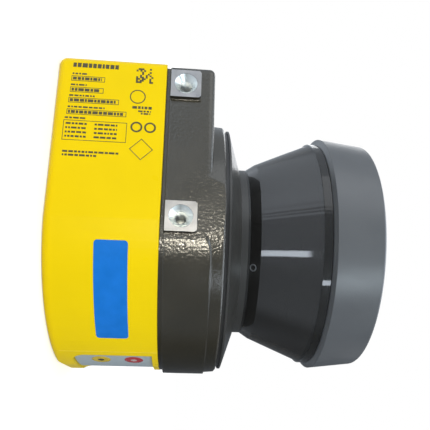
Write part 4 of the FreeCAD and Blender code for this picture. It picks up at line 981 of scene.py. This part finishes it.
# %% Symbols on the panel
SYMBOLS = (
    ("amber_symbol", 16.7, (0.72, 0.52, 0.03), (0.06, 0.05, 0.03)),
    ("red_symbol", 28.7, (0.50, 0.05, 0.06), (0.60, 0.48, 0.48)),
)
SYMBOL_SIDE = -11.2
SYMBOL_RADIUS = 3.45
SYMBOL_RISE = 0.12
SYMBOL_STEP = 0.22
SYMBOL_SKIRT = 0.3
SYMBOL_SINK = 0.03
lean = math.asin(SYMBOL_SIDE / BOW_RADIUS)
symbol_face = -PANEL_FACE + BOW_RADIUS * (1 - math.cos(lean))
for name, level, colour, middle in SYMBOLS:
    rim_dark = tuple(part * 0.85 for part in colour)
    rim_finish = finish(name + "_rim", rim_dark, colour, 0.002, (0.15, 0.25), 0.001, 0.000005)
    middle_dark = tuple(part * 0.8 for part in middle)
    middle_finish = finish(name + "_middle", middle_dark, middle, 0.002, (0.2, 0.3), 0.001, 0.000005)
    bm = bmesh.new()
    bmesh.ops.create_circle(bm, segments=40, radius=SYMBOL_RADIUS * MM, cap_ends=True)
    disc = bm.faces[:]
    for rise in (0.5, 0.3, 0.2):
        step = SYMBOL_RADIUS * SYMBOL_STEP * MM
        bmesh.ops.inset_region(bm, faces=disc, thickness=step, use_boundary=True)
        bmesh.ops.translate(bm, verts=disc[0].verts[:], vec=(0, 0, SYMBOL_RISE * rise * MM))
    rim = [edge for edge in bm.edges if edge.is_boundary]
    skirt = bmesh.ops.extrude_edge_only(bm, edges=rim)["geom"]
    sunk = [item for item in skirt if isinstance(item, bmesh.types.BMVert)]
    bmesh.ops.translate(bm, verts=sunk, vec=(0, 0, -SYMBOL_SKIRT * MM))
    bmesh.ops.holes_fill(bm, edges=[edge for edge in bm.edges if edge.is_boundary])
    disc[0].material_index = 1
    bmesh.ops.recalc_face_normals(bm, faces=bm.faces)
    bmesh.ops.transform(bm, verts=bm.verts, matrix=Matrix.Rotation(lean, 4, "Z") @ UPRIGHT)
    spot = (SYMBOL_SIDE * MM, (symbol_face - SYMBOL_SINK) * MM, level * MM)
    bmesh.ops.translate(bm, verts=bm.verts, vec=spot)
    made = piece(name, bm, rim_finish, smooth=True)
    made.data.materials.append(middle_finish)

# %% [markdown]
# Moulded ring on the cover
#
# A small raised ring stands on the lower cone of the cover, where the mould was filled. Its
# round section is spun about the ring's own axis, which stands square on the cone. It takes the
# cap's grey, lighter than the cover: a painted highlight for the light that the raised ring catches.

# %% Moulded ring
RING_ANGLE = 27.0
RING_LEVEL = 71.0
RING_RADIUS = 1.15
RING_WIRE = 0.22
CONE_LOW = Vector((33.8, 0, 69.8))
CONE_HIGH = Vector((36.2, 0, 73.4))
share = (RING_LEVEL - CONE_LOW.z) / (CONE_HIGH.z - CONE_LOW.z)
spot = CONE_LOW.lerp(CONE_HIGH, share) * MM
slope = (CONE_HIGH - CONE_LOW).normalized()
outward = Vector((slope.z, 0, -slope.x))
bm = bmesh.new()
section = bmesh.ops.create_circle(
    bm, segments=10, radius=RING_WIRE * MM,
    matrix=Matrix.Translation((RING_RADIUS * MM, 0, 0)) @ UPRIGHT,
)
bmesh.ops.spin(
    bm, geom=section["verts"][:] + bm.edges[:], cent=(0, 0, 0), axis=(0, 0, 1), angle=math.tau,
    steps=40, use_merge=True,
)
stand = outward.to_track_quat("Z", "X").to_matrix().to_4x4()
about = Matrix.Rotation(math.radians(180 + RING_ANGLE), 4, "Z")
bmesh.ops.transform(bm, verts=bm.verts, matrix=about @ Matrix.Translation(spot) @ stand)
bmesh.ops.recalc_face_normals(bm, faces=bm.faces)
# The cap's lighter grey is a painted highlight on the raised ring.
piece("moulded_ring", bm, finishes["cap_grey"], smooth=True)

# %% [markdown]
# Threads
#
# A thread is one ridge that climbs round its axis. Its small triangular section is spun with a
# lift at each step, which gives the climb, and its two ends are closed.


# %% Threads
def thread(bm, radius, ridge, pitch, length, matrix, steps=20):
    """A ridge from the radius inwards, or outwards where ridge is negative. Sizes in mm."""
    turns = length / pitch
    half = pitch * 0.42
    profile = [
        bm.verts.new((radius * MM, 0, -half * MM)),
        bm.verts.new(((radius - ridge) * MM, 0, 0)),
        bm.verts.new((radius * MM, 0, half * MM)),
    ]
    start = bm.faces.new(profile)
    count = round(turns * steps)
    bmesh.ops.spin(
        bm, geom=[start], cent=(0, 0, 0), axis=(0, 0, 1), dvec=(0, 0, length * MM / count),
        angle=math.tau * turns, steps=count,
    )
    bmesh.ops.transform(bm, verts=[vert for vert in bm.verts if not vert.tag], matrix=matrix)
    for vert in bm.verts:
        vert.tag = True


PAD_MOUTH = 48.8
PAD_THREAD = {"radius": 2.12, "ridge": 0.3, "pitch": 0.8, "length": 6.0}
bm = bmesh.new()
for sign in (-1, 1):
    for row in PAD_ROWS:
        inward = Matrix.Rotation(math.radians(-sign * 90), 4, "Y")
        mouth = Matrix.Translation((sign * PAD_MOUTH * MM, row, PAD_LEVEL))
        thread(bm, matrix=mouth @ inward, **PAD_THREAD)
bmesh.ops.recalc_face_normals(bm, faces=bm.faces)
cut_metal = finish(
    "cut_metal", (0.7, 0.71, 0.7), (0.8, 0.81, 0.79), 0.002, (0.3, 0.42), 0.0004, 0.000005,
    metallic=1.0,
)
piece("pad_threads", bm, cut_metal, smooth=False)

# %% [markdown]
# Connector threads
#
# The system connector has an outer thread and the configuration connector an inner one. Both
# run along the connector's own axis, towards the rear, so both use the same helper, with a
# ridge that points outwards on one and inwards on the other.

# %% Connector threads
plug_low, plug_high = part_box("system_connector")
socket_low, socket_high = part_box("config_connector")
backward = Matrix.Rotation(math.radians(-90), 4, "X")
for name, low, high, radius, ridge, pitch, start, length in (
    ("plug_thread", plug_low, plug_high, 5.97, -0.2, 1.0, 46.7, 5.3),
    ("socket_thread", socket_low, socket_high, 3.63, 0.25, 1.0, 49.2, 1.2),
):
    middle = (low + high) / 2
    foot = Matrix.Translation((middle.x, start * MM, middle.z))
    bm = bmesh.new()
    thread(bm, radius, ridge, pitch, length, foot @ backward, 28)
    bmesh.ops.recalc_face_normals(bm, faces=bm.faces)
    piece(name, bm, finishes["connector_metal"])

# %% [markdown]
# Gilded pins
#
# The pins of the system connector are gilded, so that they don't tarnish. Pins and insert are
# one solid, so one material carries both: it is gold where the surface stands beyond the face
# of the insert, and plastic elsewhere.

# %% Gilded pins
PIN_FOOT = 0.0462
tree = finishes["connector_insert"].node_tree
plastic = tree.nodes["Principled BSDF"]
gilt = add(tree, "ShaderNodeBsdfPrincipled")
gilt.inputs["Metallic"].default_value = 1.0
gold = tint(tree, noise(tree, 0.001), (0.78, 0.56, 0.2), (0.88, 0.66, 0.28))
feed(tree, gilt.inputs["Base Color"], gold)
feed(tree, gilt.inputs["Roughness"], spread(tree, noise(tree, 0.0008), 0.16, 0.26))
xyz = parts_of(tree, place(tree))
pins = sums(tree, "GREATER_THAN", xyz["Y"], PIN_FOOT)
pins = sums(tree, "MULTIPLY", pins, sums(tree, "LESS_THAN", xyz["X"], 0.0))
either = add(tree, "ShaderNodeMixShader")
for socket, value in zip(either.inputs, (pins, plastic.outputs[0], gilt.outputs[0])):
    feed(tree, socket, value)
feed(tree, tree.nodes["Material Output"].inputs["Surface"], either.outputs[0])
print("pins are gilded beyond y =", PIN_FOOT / MM, "mm")
